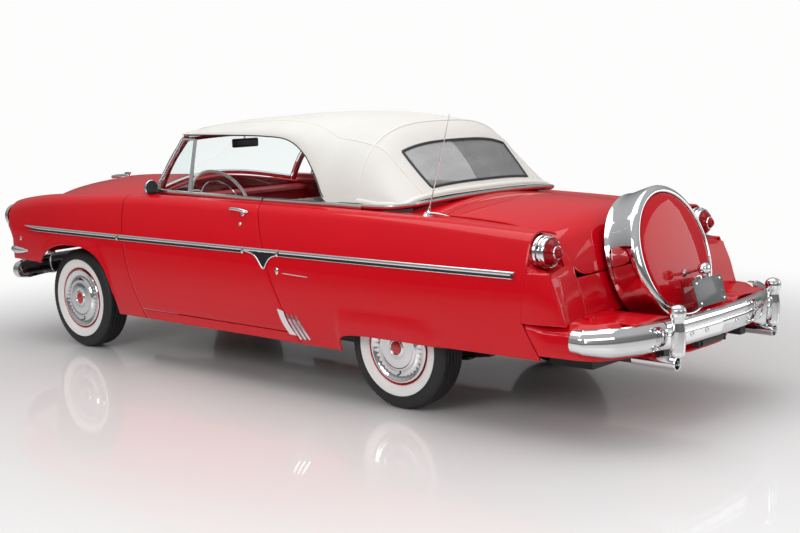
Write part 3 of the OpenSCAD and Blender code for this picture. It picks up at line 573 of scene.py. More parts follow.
PAINT = Finish("red_paint", (0.60, 0.0002, 0.008), "paint", roughness=0.42, coat=0.6, coat_roughness=0.015,
               specular=0.04,
               tone=0.03, tone_scale=1.5, rough_spread=0.03, relief=0.00002)
CHROME = Finish("bright_plate", (0.78, 0.79, 0.80), "chrome", metallic=1.0, roughness=0.05,
                tone=0.02, rough_spread=0.02)
SATIN_CHROME = Finish("soft_bright_plate", (0.60, 0.60, 0.58), "chrome", metallic=1.0, roughness=0.16,
                      tone=0.03, rough_spread=0.03)
SATIN = Finish("satin_plate", (0.55, 0.56, 0.58), "chrome", metallic=1.0, roughness=0.28)
TYRE = Finish("black_rubber", (0.012, 0.012, 0.013), "tyre", roughness=0.55, tone=0.12,
              tone_scale=9.0, relief=0.0002)
WHITEWALL = Finish("white_rubber", (0.86, 0.855, 0.84), "tyre", roughness=0.42, tone=0.03, relief=0.0001)
VINYL = Finish("top_cloth", (0.70, 0.685, 0.65), "top_fabric", roughness=0.62, tone=0.03,
               tone_scale=2.2, relief=0.0004, weave=0.00012, weave_pitch=3200.0, sheen=0.15)
BINDING = Finish("top_binding", (0.76, 0.74, 0.68), "top_fabric", roughness=0.5, tone=0.03,
                 relief=0.0002)
LINING = Finish("top_lining", (0.30, 0.29, 0.27), "top_fabric", roughness=0.8, weave=0.0001, tone=0.06)
GLASS = Finish("clear_glass", (0.90, 0.96, 0.95), "glass", roughness=0.01, transmission=1.0, ior=1.12,
               tone=0.0, rough_spread=0.0)
FILM = Finish("window_sheet", (0.30, 0.31, 0.31), "film", roughness=0.06, alpha=0.55,
              tone=0.1, tone_scale=5.0, rough_spread=0.02, relief=0.0012)
LENS = Finish("red_lens", (0.30, 0.001, 0.006), "lamp", roughness=0.1, specular=0.1, coat=0.4, tone=0.1,
              tone_scale=30.0)
CLEAR_LENS = Finish("clear_lens", (0.75, 0.78, 0.78), "glass", roughness=0.08, metallic=0.6, tone=0.05)
DARK = Finish("dark_steel", (0.018, 0.018, 0.020), "steel", roughness=0.5, tone=0.2, tone_scale=6.0,
              relief=0.0002)
BLACK = Finish("black_trim", (0.008, 0.008, 0.009), "steel", roughness=0.35, tone=0.1)
WHITE_LEATHER = Finish("white_hide", (0.66, 0.65, 0.62), "upholstery", roughness=0.5, tone=0.04,
                       tone_scale=6.0, relief=0.0006, coat=0.1)
GREY_CLOTH = Finish("grey_insert", (0.28, 0.29, 0.30), "upholstery", roughness=0.75, tone=0.06,
                    weave=0.0003, weave_pitch=1800.0)
RED_HIDE = Finish("red_hide", (0.34, 0.004, 0.012), "upholstery", roughness=0.45, tone=0.06, relief=0.0005)
WHITE_RIM = Finish("white_plastic", (0.75, 0.74, 0.70), "rim_plastic", roughness=0.25, coat=0.4)
CARPET = Finish("dark_carpet", (0.03, 0.028, 0.028), "carpet", roughness=0.9, tone=0.2, tone_scale=40.0,
                relief=0.002)
RED_RIM = Finish("red_rim_paint", (0.50, 0.001, 0.006), "paint", roughness=0.3, coat=0.8)
PLATE = Finish("blank_plate", (0.10, 0.105, 0.11), "steel", roughness=0.35, coat=0.3, tone=0.1)


@dataclass(frozen=True)
class Registrar:
    """Dresses pieces, attaches them to the body that they ride on and hides the solids that they stand for."""

    def place(
        self, piece: bpy.types.Object, finish: Finish, body: str, *nodes: str
    ) -> bpy.types.Object:
        """Dress one piece and set what carries it.

        Args:
            piece: The finished mesh object.
            finish: Its surface.
            body: The frame's body that it moves with.
            nodes: The frame's solids that it stands for.

        Returns:
            The same piece.
        """
        if not piece.data.materials:
            piece.data.materials.append(finish.material())
        elif piece.data.materials[0] is None:
            piece.data.materials[0] = finish.material()
        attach(piece, body)
        if nodes:
            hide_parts(*nodes)
        LOG.info("%s: %d faces on %s", piece.name, len(piece.data.polygons), body)
        return piece


SHOP = Registrar()


# --- The body's shape -------------------------------------------------------------------------


def bump(value: Array, low: float, high: float) -> Array:
    """A smooth step from 0 at low to 1 at high."""
    t = np.clip((value - low) / (high - low), 0, 1)
    return t * t * (3 - 2 * t)


@dataclass(frozen=True)
class BodyShape:
    """The car's outer skin, as functions of the station behind the front axle."""

    wheelbase: float = 2.934
    half: float = 0.93
    front_axle_y: float = -1.8045
    belt: float = 1.095
    roof: float = 1.59
    sill: float = 0.30
    tyre_radius: float = 0.342
    wheel_x: float = 0.711
    gap: float = 0.006
    door_front: float = 0.64
    door_length: float = 1.268
    hood_rear: float = 0.50
    lid_half: float = 0.61
    lamp_station: float = 3.864
    pan_top: float = 0.597
    sections: Curve = Curve(np.array([
        [-0.800, .110, .066, .720, .195, .872, .108, .365, .935],
        [-0.600, .084, .042, .690, .178, .902, .112, .352, .975],
        [-0.300, .068, .022, .665, .165, .937, .110, .345, 1.010],
        [0.100, .058, .008, .650, .158, .962, .105, .341, 1.032],
        [0.500, .053, .002, .640, .155, .984, .100, .338, 1.052],
        [0.900, .050, .000, .632, .152, 1.000, .092, .235, 1.078],
        [1.500, .050, .000, .630, .152, 1.000, .090, .228, 1.080],
        [2.100, .050, .000, .630, .154, .996, .088, .225, 1.078],
        [2.700, .052, .002, .633, .158, .988, .087, .236, 1.068],
        [3.200, .058, .010, .640, .163, .972, .088, .314, 1.050],
        [3.650, .066, .024, .652, .170, .948, .090, .316, 1.022],
        [4.000, .076, .042, .665, .176, .928, .092, .316, .985],
    ]))
    crown: Curve = Curve(np.array([
        [-.8, .118], [-.5, .112], [-.2, .108], [.2, .104], [.5, .100], [.76, .072],
    ]))
    tail: Curve = Curve(np.array([
        [0.00, 3.105, 1.120, 3.150, 1.054, .300, 3.150, 1.050],
        [0.15, 3.300, 1.122, 3.310, 1.048, .300, 3.310, 1.048],
        [0.35, 3.560, 1.110, 3.545, 1.032, .300, 3.545, 1.032],
        [0.52, 3.760, 1.076, 3.735, 1.002, .280, 3.740, 1.000],
        [0.64, 3.868, 1.018, 3.840, .962, .270, 3.856, .968],
        [0.74, 3.925, .940, 3.905, .900, .265, 3.908, .900],
        [0.82, 3.955, .862, 3.944, .846, .262, 3.938, .838],
        [0.85, 3.966, .824, 3.956, .815, .080, 3.962, .812],
        [0.88, 3.976, .790, 3.968, .783, .076, 3.974, .782],
        [1.00, 4.024, .618, 4.028, .618, .076, 4.044, .618],
    ]))
    top: Curve = Curve(np.array([
        [0.00, .985, .880, .308, 1.00, .100], [0.025, 1.03, .945, .303, 1.00, .078],
        [0.10, 1.200, 1.150, .290, 1.00, .044],
        [0.25, 1.500, 1.480, .278, 1.00, .015], [0.38, 1.790, 1.760, .275, .99, .002],
        [0.47, 2.000, 1.960, .268, .93, .000], [0.54, 2.150, 2.110, .250, .70, .000],
        [0.59, 2.250, 2.210, .228, .36, .004], [0.63, 2.330, 2.290, .210, .02, .010],
        [0.72, 2.480, 2.450, .206, .00, .030], [0.80, 2.600, 2.610, .206, .00, .064],
        [0.84, 2.660, 2.680, .208, .00, .112], [0.88, 2.730, 2.755, .212, .00, .200],
        [0.94, 2.830, 2.862, .224, .00, .322], [1.00, 2.930, 2.975, .246, .00, .446],
    ]))

    def y(self, d: Array | float) -> Array | float:
        """Y at a station."""
        return self.front_axle_y + d

    def row(self, d: Array) -> list[Array]:
        """The section's columns at each station."""
        return [self.sections(d, column) for column in range(1, 9)]

    def crest_start(self, s: list[Array]) -> Array:
        """Angle, in radians, at which the side runs into the crest's arc."""
        angle = np.full_like(s[0], math.radians(12))
        for _ in range(5):
            out = s[3] - s[5] * np.cos(angle)
            up = s[4] + s[5] * np.sin(angle)
            angle = np.arctan(2 * (out - s[1]) / (up - s[2]))
        return angle

    def crest_foot(self, d: Array) -> Array:
        """Height at which the side runs into the crest."""
        s = self.row(d)
        return s[4] + s[5] * np.sin(self.crest_start(s))

    def point(self, d: Array, v: Array) -> Array:
        """A point of the outer skin.

        Args:
            d: Stations behind the front axle.
            v: 0 to 1 climbs the side, 1 to 2 goes over the crest, 2 to 3 runs in along the top.

        Returns:
            Rows of X, Y and Z on the car's left side.
        """
        d, v = np.broadcast_arrays(np.asarray(d, float), np.asarray(v, float))
        s = self.row(d)
        start = self.crest_start(s)
        out = s[3] - s[5] * np.cos(start)
        foot = s[4] + s[5] * np.sin(start)
        z = self.sill + (foot - self.sill) * v
        low = z < s[2]
        k = np.where(low, (s[2] - z) / (s[2] - self.sill), (z - s[2]) / (foot - s[2]))
        inset = s[1] + k**2 * np.where(low, s[0] - s[1], out - s[1])
        turn = start + (math.radians(95) - start) * np.clip(v - 1, 0, 1)
        arc_x = self.half - s[3] + s[5] * np.cos(turn)
        arc_z = s[4] + s[5] * np.sin(turn)
        w = np.clip(v - 2, 0, 1)
        end_x = self.half - s[3] + s[5] * math.cos(math.radians(95))
        end_z = s[4] + s[5] * math.sin(math.radians(95))
        in_x, in_z = self.half - s[6], s[7]
        mid_x, mid_z = (end_x + in_x) / 2, end_z - 0.004
        run_x = end_x * (1 - w) ** 2 + mid_x * 2 * w * (1 - w) + in_x * w**2
        run_z = end_z * (1 - w) ** 2 + mid_z * 2 * w * (1 - w) + in_z * w**2
        x = np.where(v <= 1, self.half - inset, np.where(v <= 2, arc_x, run_x))
        z = np.where(v <= 1, z, np.where(v <= 2, arc_z, run_z))
        return np.column_stack([x, self.y(d), z])

    def out(self, d: Array, v: Array) -> Array:
        """The skin's outward direction."""
        d, v = np.broadcast_arrays(np.asarray(d, float), np.asarray(v, float))
        e = 0.004
        along = self.point(d + e, v) - self.point(d - e, v)
        up = self.point(d, np.minimum(v + e, 3)) - self.point(d, np.maximum(v - e, -1))
        return unit(np.cross(along, up))

    def v_at(self, d: Array, z: Array) -> Array:
        """The side's v at height z."""
        return (z - self.sill) / (self.crest_foot(np.asarray(d, float)) - self.sill)

    def side(self, d: Array, z: Array, lift: float | Array = 0.0) -> Array:
        """A point of the side at height z, lifted off the skin."""
        d, z = np.broadcast_arrays(np.asarray(d, float), np.asarray(z, float))
        v = self.v_at(d, z)
        return self.point(d, v) + self.out(d, v) * np.asarray(lift)[..., None]

    def side_out(self, d: Array, z: Array) -> Array:
        """The side's outward direction at height z."""
        d, z = np.broadcast_arrays(np.asarray(d, float), np.asarray(z, float))
        return self.out(d, self.v_at(d, z))

    def inner_x(self, d: Array) -> Array:
        """Half distance between the fenders' inner edges."""
        return self.half - self.sections(np.asarray(d, float), 7)

    def inner_z(self, d: Array) -> Array:
        """Height of the fenders' inner edges."""
        return self.sections(np.asarray(d, float), 8)

    def top_at(self, d: Array, s: Array) -> Array:
        """Height of the bonnet and cowl at a station, s from -1 to 1 across."""
        return self.inner_z(d) + self.crown(d, 1) * (1 - s**2)

    # Doors

    def door_front_at(self, z: Array) -> Array:
        """The door's front edge at height z."""
        lean = np.maximum((self.belt - z) / (self.belt - self.sill - 0.066), 0)
        return self.door_front + 0.19 * lean**1.5

    def door_rear_at(self, z: Array, x: Array) -> Array:
        """The door's rear edge at height z."""
        lean = np.maximum((self.belt - z) / (self.belt - self.sill - 0.066), 0)
        arc = (self.half - x) ** 2 / 2 / self.door_length
        return self.door_front + self.door_length + 0.335 * lean**1.15 - arc

    def door(self, u: Array, t: Array) -> Array:
        """The door's skin, from its front edge and from its foot."""
        middle = self.door_front + u * self.door_length
        foot = self.sill + 0.066
        v = self.v_at(middle, np.full_like(u, foot))
        v = v + (2.75 - v) * t
        p = self.point(middle, v)
        for _ in range(2):
            front, rear = self.door_front_at(p[:, 2]), self.door_rear_at(p[:, 2], p[:, 0])
            d = front + (rear - front) * u
            low = self.v_at(d, np.full_like(u, foot))
            v = low + (2.75 - low) * t
            p = self.point(d, v)
        return p

    # Front fender

    def front_arch(self, a: Array) -> tuple[Array, Array]:
        """Station and height round the front wheel arch, a in degrees from its rear foot."""
        reach, top, bend = self.tyre_radius + 0.108, 2 * self.tyre_radius + 0.045, 2.7
        c, s = np.cos(np.radians(a)), np.sin(np.radians(a))
        d = 0.11 + reach * np.sign(c) * np.abs(c) ** (2 / bend)
        return d, self.sill + (top - self.sill) * np.abs(s) ** (2 / bend)

    def nose_at(self, z: Array) -> Array:
        """The fender's foremost station at height z."""
        return -0.715 - 0.075 * (1 - np.cos(np.clip((z - 0.73) / 0.07, 0, 1) * math.pi)) / 2

    def fender(self, u: Array, t: Array) -> Array:
        """The front fender's skin, round the arch by u and out to its edges by t."""
        nose_foot = 0.582
        top = 2 * self.tyre_radius + 0.045
        end = 180 - math.degrees(math.asin(((nose_foot - self.sill) / (top - self.sill)) ** 1.35))
        arch_d, arch_z = self.front_arch(end * u)
        inner_v = self.v_at(arch_d, arch_z)
        rise = np.clip(u / 0.08, 0, 3)
        edge = self.point(self.door_front + 0.2 - 0.025 * rise, rise)
        outer_d = self.door_front_at(edge[:, 2]) - self.gap
        outer_v = rise
        way = np.clip((u - 0.24) / 0.46, 0, 1)
        outer_d = np.where(u < 0.24, outer_d, self.door_front - self.gap + (-0.79 - self.door_front + self.gap) * way)
        down = np.clip((u - 0.7) / 0.3, 0, 1)
        foot_v = self.v_at(np.full_like(u, -0.715), np.full_like(u, nose_foot))
        nose_v = 3 + (foot_v - 3) * down
        nose = self.point(np.full_like(u, -0.715), nose_v)
        outer_d = np.where(u < 0.7, outer_d, self.nose_at(nose[:, 2]))
        outer_v = np.where(u < 0.24, outer_v, np.where(u < 0.7, 3.0, nose_v))
        d = arch_d + (outer_d - arch_d) * t
        v = inner_v + (outer_v - inner_v) * t
        p = self.point(d, v)
        left = np.clip((d - self.nose_at(p[:, 2])) / 0.06, 0, 1)
        a, b = self.point(d, np.maximum(v - 0.02, 0)), self.point(d, np.minimum(v + 0.02, 3))
        run = unit(np.column_stack([b[:, 0] - a[:, 0], b[:, 2] - a[:, 2]]))
        pull = 0.06 * (1 - np.sqrt(1 - (1 - left) ** 2))
        normal = self.out(d, v)
        away = np.hypot(d - arch_d, p[:, 2] - arch_z)
        lip = 0.010 * (1 - bump(away, 0.012, 0.05)) * bump(u, 0.02, 0.12)
        return p - pull[:, None] * np.column_stack([run[:, 1], 0 * d, -run[:, 0]]) + normal * lip[:, None]

    # Rear quarter

    def pan_seam(self, z: Array) -> Array:
        """The pan's front edge at height z."""
        return self.wheelbase + 0.912 + 0.088 * (self.pan_top - z) / 0.165

    def quarter_end(self, z: Array) -> Array:
        """The quarter's rear edge at height z."""
        low = self.pan_seam(np.full_like(z, self.pan_top)) - self.gap
        slant = low + (self.lamp_station - low) * (z - self.pan_top) / (0.86 - self.pan_top)
        return np.where(z > 0.86, self.lamp_station,
                        np.where(z > self.pan_top, slant, self.pan_seam(z) - self.gap))

    def eyebrow(self, d: Array, z: Array) -> Array:
        """How far the pressed brow over the rear wheel stands out."""
        crest = np.interp(d, [2.575, 2.60, 2.64, 2.754, 2.937, 3.10, 3.238, 3.315],
                          [.432, .478, .494, .504, .512, .510, .495, .476])
        inside = bump(d, 2.575, 2.63) * (1 - bump(d, 3.26, 3.36))
        return 0.015 * inside * (1 - bump(z - crest, -0.012, 0.006))

    def quarter(self, u: Array, t: Array) -> Array:
        """The rear quarter's skin, round the arch by u and out to its edges by t."""
        turn = math.pi * u
        c, s = np.cos(turn), np.abs(np.sin(turn))
        arch_front, arch_back = self.wheelbase - 0.33, self.wheelbase + 0.44
        arch_d = arch_front + (arch_back - arch_front) * (1 - np.sign(c) * np.abs(c) ** 0.6) / 2
        foot = self.sill + 0.108 * u
        arch_z = foot + (self.tyre_radius + 0.07 - foot) * s**0.4
        inner_v = self.v_at(arch_d, arch_z)
        rise = np.clip(u / 0.08, 0, 3)
        edge = self.point(self.door_front + self.door_length + 0.3 - 0.11 * rise, rise)
        start = self.door_rear_at(edge[:, 2], edge[:, 0]) + self.gap
        belt_x = self.inner_x(np.array(self.door_front + self.door_length))
        belt_d = self.door_rear_at(np.array(self.belt), belt_x) + self.gap
        way = np.clip((u - 0.24) / 0.52, 0, 1)
        outer_d = np.where(u < 0.24, start, belt_d + (self.lamp_station - belt_d) * way)
        down = np.clip((u - 0.76) / 0.24, 0, 1)
        quarter_foot = self.sill + 0.108
        seam = self.pan_seam(np.array(quarter_foot))
        foot_v = self.v_at(seam, np.array(quarter_foot))
        end_v = 3 + (foot_v - 3) * down
        end = self.point(np.full_like(u, self.lamp_station), end_v)
        outer_d = np.where(u < 0.76, outer_d, self.quarter_end(end[:, 2]))
        outer_v = np.where(u < 0.24, rise, np.where(u < 0.76, 3.0, end_v))
        d = arch_d + (outer_d - arch_d) * t
        v = inner_v + (outer_v - inner_v) * t
        p = self.point(d, v)
        return p + self.out(d, v) * self.eyebrow(d, p[:, 2])[:, None]

    # Bonnet, deck and tail

    def hood(self, u: Array, t: Array) -> Array:
        """The bonnet's skin, from the nose back and from side to side."""
        s = 2 * t - 1
        front = -0.812 + 0.04 * s**2
        u = np.where(u < 0.3, u / 3, 0.1 + (u - 0.3) / 0.7 * 0.9)
        d = front + (self.hood_rear - front) * u
        q = np.clip((d - front) / 0.095, 0, 1)
        drop = (0.024 + 0.096 * (1 - s**2)) * (1 - np.sqrt(1 - (1 - q) ** 2))
        scoop = 0.012 * np.exp(-((s / 0.16) ** 2)) * bump(d, -0.7, -0.45) * (1 - bump(d, 0.1, 0.4))
        return np.column_stack([
            s * (self.inner_x(d) - self.gap - 0.002), self.y(d), self.top_at(d, s) - drop + scoop,
        ])

    def glass_foot(self, s: Array) -> Array:
        """Station of the windshield's foot, s from -1 to 1 across."""
        return self.door_front - 0.07 + 0.12 * s**2

    def cowl(self, u: Array, t: Array) -> Array:
        """The cowl's skin between the bonnet and the windshield."""
        s = 2 * t - 1
        front = self.hood_rear + self.gap + 0.002
        d = front + (self.glass_foot(s) + 0.034 - front) * u
        return np.column_stack([s * (self.inner_x(d) - self.gap), self.y(d), self.top_at(d, s)])

    def glass(self, u: Array, t: Array) -> Array:
        """The windshield, from the left post to the right and from its foot up."""
        s = 1 - 2 * u
        post_x, head_x, head_z = float(self.inner_x(np.array(0.7))) - 0.032, self.half - 0.325, self.roof - 0.13
        foot = self.glass_foot(s)
        foot_z = self.top_at(foot, s * post_x / self.inner_x(foot)) + 0.016
        low = np.column_stack([s * post_x, self.y(foot), foot_z])
        high = np.column_stack([
            s * head_x, self.y(self.door_front + 0.235 + 0.105 * s**2), head_z - 0.012 * s**2,
        ])
        p = low + (high - low) * t[:, None]
        p[:, 1] -= 0.034 * np.sin(math.pi * t)
        return p

    def tail_at(self, w: Array, column: int) -> Array:
        """A column of the tail; the outer edge's columns run straight between their rows."""
        table = self.tail.table
        if column > 4:
            return np.interp(w, table[:, 0], table[:, column])
        return self.tail(w, column)

    def deck(self, w: Array, x: Array) -> Array:
        """The boot lid and the tail, w down from the lid's front edge."""
        r = 1 - (x / self.lid_half) ** 2
        d = self.tail_at(w, 3) + (self.tail_at(w, 1) - self.tail_at(w, 3)) * r
        z = self.tail_at(w, 4) + (self.tail_at(w, 2) - self.tail_at(w, 4)) * r
        return np.column_stack([x, self.y(d), z])

    # Top

    def roof_skin(self, w: Array, t: Array) -> Array:
        """The raised top, w from the header back and t from the left edge over to the right."""
        x_b = self.half - self.top(w, 3)
        foot, head = self.belt - 0.003, self.roof - 0.127
        z_b = foot + (head - foot) * self.top(w, 4)
        h = self.roof - self.top(w, 5) - z_b
        n = 2.3 + 0.8 * np.clip(h / 0.4, 0, 1)
        c, s = np.cos(math.pi * t), np.maximum(np.sin(math.pi * t), 0)
        side = np.abs(c) ** (2 / n)
        rise = h * s ** (2 / n)
        x = np.sign(c) * side * (x_b - 0.19 * rise)
        d = self.top(w, 2) + (self.top(w, 1) - self.top(w, 2)) * side**2
        return np.column_stack([x, self.y(d), z_b + rise])


SHAPE = BodyShape()


# --- Body panels ------------------------------------------------------------------------------


@dataclass
class Panels:
    """The painted body: fenders, doors, bonnet, boot lid, tail and sills."""

    wall: float = 0.010
    edge: float = 0.0022

    def press(
        self, name: str, surface: Surface, across: int, along: int, body: str, node: str,
        turned_over: bool = False, finish: Finish = PAINT,
    ) -> bpy.types.Object:
        """Make one pressed panel with rolled edges.

        Args:
            name: The panel's name.
            surface: Its outer face.
            across: Cells along u.
            along: Cells along v.
            body: What carries it.
            node: The frame's solid that it stands for.
            turned_over: Whether the grid faces inwards as laid.
            finish: Its surface.

        Returns:
            The dressed panel.
        """
        piece = sheet_of(name, surface, across, along, turned_over)
        finish_with(piece, "SOLIDIFY", thickness=self.wall, offset=-1.0, use_even_offset=False)
        finish_with(piece, "BEVEL", width=self.edge, segments=2, limit_method="ANGLE",
                    angle_limit=math.radians(60))
        smooth(piece, 40)
        return SHOP.place(piece, finish, body, *([node] if node else []))

    def pair(self, name: str, surface: Surface, across: int, along: int, turned_over: bool,
             bodies: tuple[str, str], node: str) -> None:
        """Press a panel for the left side and its mirror image for the right."""
        left = self.press(f"{name}_left", surface, across, along, bodies[0], f"{node}_left", turned_over)
        right = mirrored(left, f"{name}_right")
        smooth(right, 40)
        SHOP.place(right, PAINT, bodies[1], f"{node}_right")

    def build(self) -> None:
        """Build every painted panel."""
        ease = lambda t: t + 0.25 * np.sin(2 * math.pi * t) / (2 * math.pi) * -1
        self.pair("fender_skin", lambda u, t: SHAPE.fender(u, ease(t)), 104, 38, True,
                  ("body", "body"), "front_fender")
        self.pair("door_skin", SHAPE.door, 48, 56, False, ("door_left", "door_right"), "door")
        self.pair("quarter_skin", lambda u, t: SHAPE.quarter(u, t), 126, 50, False,
                  ("body", "body"), "rear_quarter")
        self.press("hood_skin", SHAPE.hood, 72, 60, "hood", "hood", True)
        self.press("cowl_skin", SHAPE.cowl, 14, 60, "body", "cowl_panel", True)
        self.press("lid_skin", self.lid, 72, 54, "trunk_lid", "trunk_lid", True)
        self.press("deck_skin", self.deck_panel, 16, 60, "body", "deck_panel", True)
        self.build_tail()
        self.build_sills()
        self.build_pan()
        self.build_nose()
        self.build_door_insides()

    @staticmethod
    def lid(u: Array, t: Array) -> Array:
        """The boot lid: its rear edge drops in the middle, with rounded corners."""
        s = 2 * t - 1
        end = 0.875 - 0.045 * np.maximum(np.abs(s) - 0.82, 0) ** 2 / 0.18**2
        return SHAPE.deck(u * end, s * (SHAPE.lid_half - SHAPE.gap))

    @staticmethod
    def deck_panel(u: Array, t: Array) -> Array:
        """The narrow panel between the top's foot and the boot lid."""
        s = 2 * t - 1
        front = 2.955 - 0.03 * s**2
        d = front + (3.105 + 0.045 * s**2 - SHAPE.gap - front) * u
        rise = 1.120 - float(SHAPE.inner_z(np.array(3.1))) - 0.002
        return np.column_stack([
            s * (SHAPE.inner_x(d) - SHAPE.gap), SHAPE.y(d), SHAPE.inner_z(d) + rise * (1 - s**2),
        ])

    @staticmethod
    def crease(z: Array) -> Array:
        """The edge where the rear quarter turns on to the tail, at height z."""
        made = SHAPE.side(np.interp(z, [0.58, 0.618, 0.782, 0.85], [4.085, 4.070, 3.996, 3.974]), z)
        made[:, 0] -= np.interp(z, [0.618, 0.85], [0.034, 0.020])
        return made

    def build_tail(self) -> None:
        """The tail round and under the lid, and the cheeks that turn the corners."""

        def strip(u: Array, t: Array) -> Array:
            """Beside the lid, from the lid's edge out to the lamp's side."""
            w = 0.64 + 0.36 * u
            lid = SHAPE.deck(w, np.full_like(w, SHAPE.lid_half + 0.001))
            z, d = SHAPE.tail_at(w, 7), SHAPE.tail_at(w, 6)
            corner = np.column_stack([SHAPE.half - SHAPE.tail_at(w, 5), SHAPE.y(d), z])
            low = bump(w, 0.845, 0.852)
            outer = corner + (self.crease(z) - corner) * low[:, None]
            made = lid + (outer - lid) * t[:, None]
            made[:, 2] -= 0.030 * bump(w, 0.93, 1.0)
            return made

        def cheek(u: Array, t: Array) -> Array:
            """Round the corner, from the quarter's edge to the tail."""
            z = 0.585 + (0.838 - 0.585) * u
            front = SHAPE.quarter_end(z) - 0.002
            end = self.crease(z)
            d = front + (end[:, 1] - SHAPE.y(0.0) - front) * t
            made = SHAPE.side(d, z, -0.001)
            made[:, 0] -= (SHAPE.side(end[:, 1] - SHAPE.y(0.0), z)[:, 0] - end[:, 0]) * t**2
            return made

        def under_lamp(u: Array, t: Array) -> Array:
            """Fill between the lamp's lower half and the edges around it."""
            a = -math.pi * u
            ring = np.column_stack([0.754 + 0.080 * np.cos(a), SHAPE.y(3.862 + 0 * u),
                                    0.925 + 0.080 * np.sin(a)])
            heights = np.array([0.930, 0.900, 0.870, 0.845])
            edge = [tuple(q) for q in SHAPE.side(np.full(4, SHAPE.lamp_station) - 0.001, heights, -0.001)]
            top = self.crease(np.array([0.838]))[0]
            w = np.array([0.838, 0.82, 0.79, 0.75, 0.72])
            corner = np.column_stack([SHAPE.half - SHAPE.tail_at(w, 5), SHAPE.y(SHAPE.tail_at(w, 6)),
                                      SHAPE.tail_at(w, 7)])
            inner = [tuple(q) for q in corner]
            outer = resample([*edge, tuple(SHAPE.side(np.array([3.90]), np.array([0.836]), -.001)[0]),
                              tuple(top),
                              tuple((top + corner[0]) / 2), *inner], False)(u)
            return ring + (outer - ring) * t[:, None]

        def under(u: Array, t: Array) -> Array:
            """Under the lid, from side to side."""
            w = 0.88 + 0.12 * u
            made = SHAPE.deck(w, (SHAPE.lid_half + 0.001) * (2 * t - 1))
            made[:, 2] -= 0.030 * bump(w, 0.93, 1.0)
            return made

        left = self.press("tail_strip_left", strip, 40, 20, "body", "tail_panel", False)
        right = mirrored(left, "tail_strip_right")
        SHOP.place(smooth(right, 40), PAINT, "body")
        left = self.press("under_lamp_left", under_lamp, 48, 10, "body", "", True)
        SHOP.place(smooth(mirrored(left, "under_lamp_right"), 40), PAINT, "body")
        left = self.press("tail_cheek_left", cheek, 24, 24, "body", "", True)
        right = mirrored(left, "tail_cheek_right")
        SHOP.place(smooth(right, 40), PAINT, "body")
        self.press("tail_under_lid", under, 14, 60, "body", "", True)

    def build_sills(self) -> None:
        """The rocker panels under the doors."""

        def rocker(u: Array, t: Array) -> Array:
            """From the fender to the quarter, and round under."""
            way = np.clip((t - 0.3) / 0.7, 0, 1)
            height = SHAPE.sill + 0.06 * way
            front = SHAPE.door_front_at(height) + 0.002 + 0 * u
            rear = SHAPE.door_rear_at(height, np.full_like(u, SHAPE.half - 0.05))
            d = front + (rear - front) * u
            p = SHAPE.side(d, height)
            under = np.clip(1 - t / 0.3, 0, 1)
            p[:, 0] -= 0.07 * under + 0.006 * (under > 0)
            p[:, 2] -= 0.004 * (under > 0)
            return p

        left = self.press("rocker_left", rocker, 50, 12, "body", "rocker_panels", False)
        SHOP.place(smooth(mirrored(left, "rocker_right"), 40), PAINT, "body")

    def build_pan(self) -> None:
        """The pan behind the tail: a flat shelf, a bevel and a rounded side."""
        start, reach = 3.846, 0.502
        table = Curve(np.array([[0.0, .062, 0.0], [0.3, .068, .160], [0.5, .084, .300],
                                [0.62, .130, .385], [0.8, .290, .465], [1.0, .440, .505]]))
        profile = np.array([(0.0, 0.432), (0.004, 0.45), (0.006, 0.5), (0.002, 0.545), (-0.006, 0.558),
                            (-0.03, 0.582), (-0.05, 0.596), (-0.09, 0.598), (-0.26, 0.60)])

        def skirt(u: Array, t: Array) -> Array:
            """Round the pan by u and up its side and over its shelf by t."""
            k = t * (len(profile) - 1)
            out = np.interp(k, range(len(profile)), profile[:, 0])
            z = np.interp(k, range(len(profile)), profile[:, 1])
            inset, back = table(u, 1), table(u, 2) / 0.505
            e = 0.01
            du_x = -(table(np.minimum(u + e, 1), 1) - table(np.maximum(u - e, 0), 1))
            du_y = (table(np.minimum(u + e, 1), 2) - table(np.maximum(u - e, 0), 2)) / 0.505 * reach
            side = unit(np.column_stack([du_y, -du_x]))
            front = SHAPE.pan_seam(z)
            d = front + (start + reach - front) * back
            x = SHAPE.half - inset + side[:, 0] * out
            d = d + side[:, 1] * out * bump(u, 0.02, 0.3)
            flush = (1 - bump(u, 0.0, 0.28)) * (1 - bump(-out, 0.0, 0.09))
            x = x + (SHAPE.side(d, z)[:, 0] - 0.001 - x) * flush
            return np.column_stack([x, SHAPE.y(d), z])

        left = self.press("pan_left", skirt, 60, 40, "body", "rear_pan", False)
        SHOP.place(smooth(mirrored(left, "pan_right"), 40), PAINT, "body")

        def shelf(u: Array, t: Array) -> Array:
            """The middle of the pan behind the spare wheel."""
            s = 2 * t - 1
            d = 3.99 + (4.348 - 3.99) * u
            return np.column_stack([s * 0.66, SHAPE.y(d), 0.5965 - 0.21 * np.exp(-((s / 0.46) ** 8)) + 0 * u])

        self.press("pan_shelf", shelf, 12, 40, "body", "", True)

    def build_nose(self) -> None:
        """The front panel round the grille mouth."""

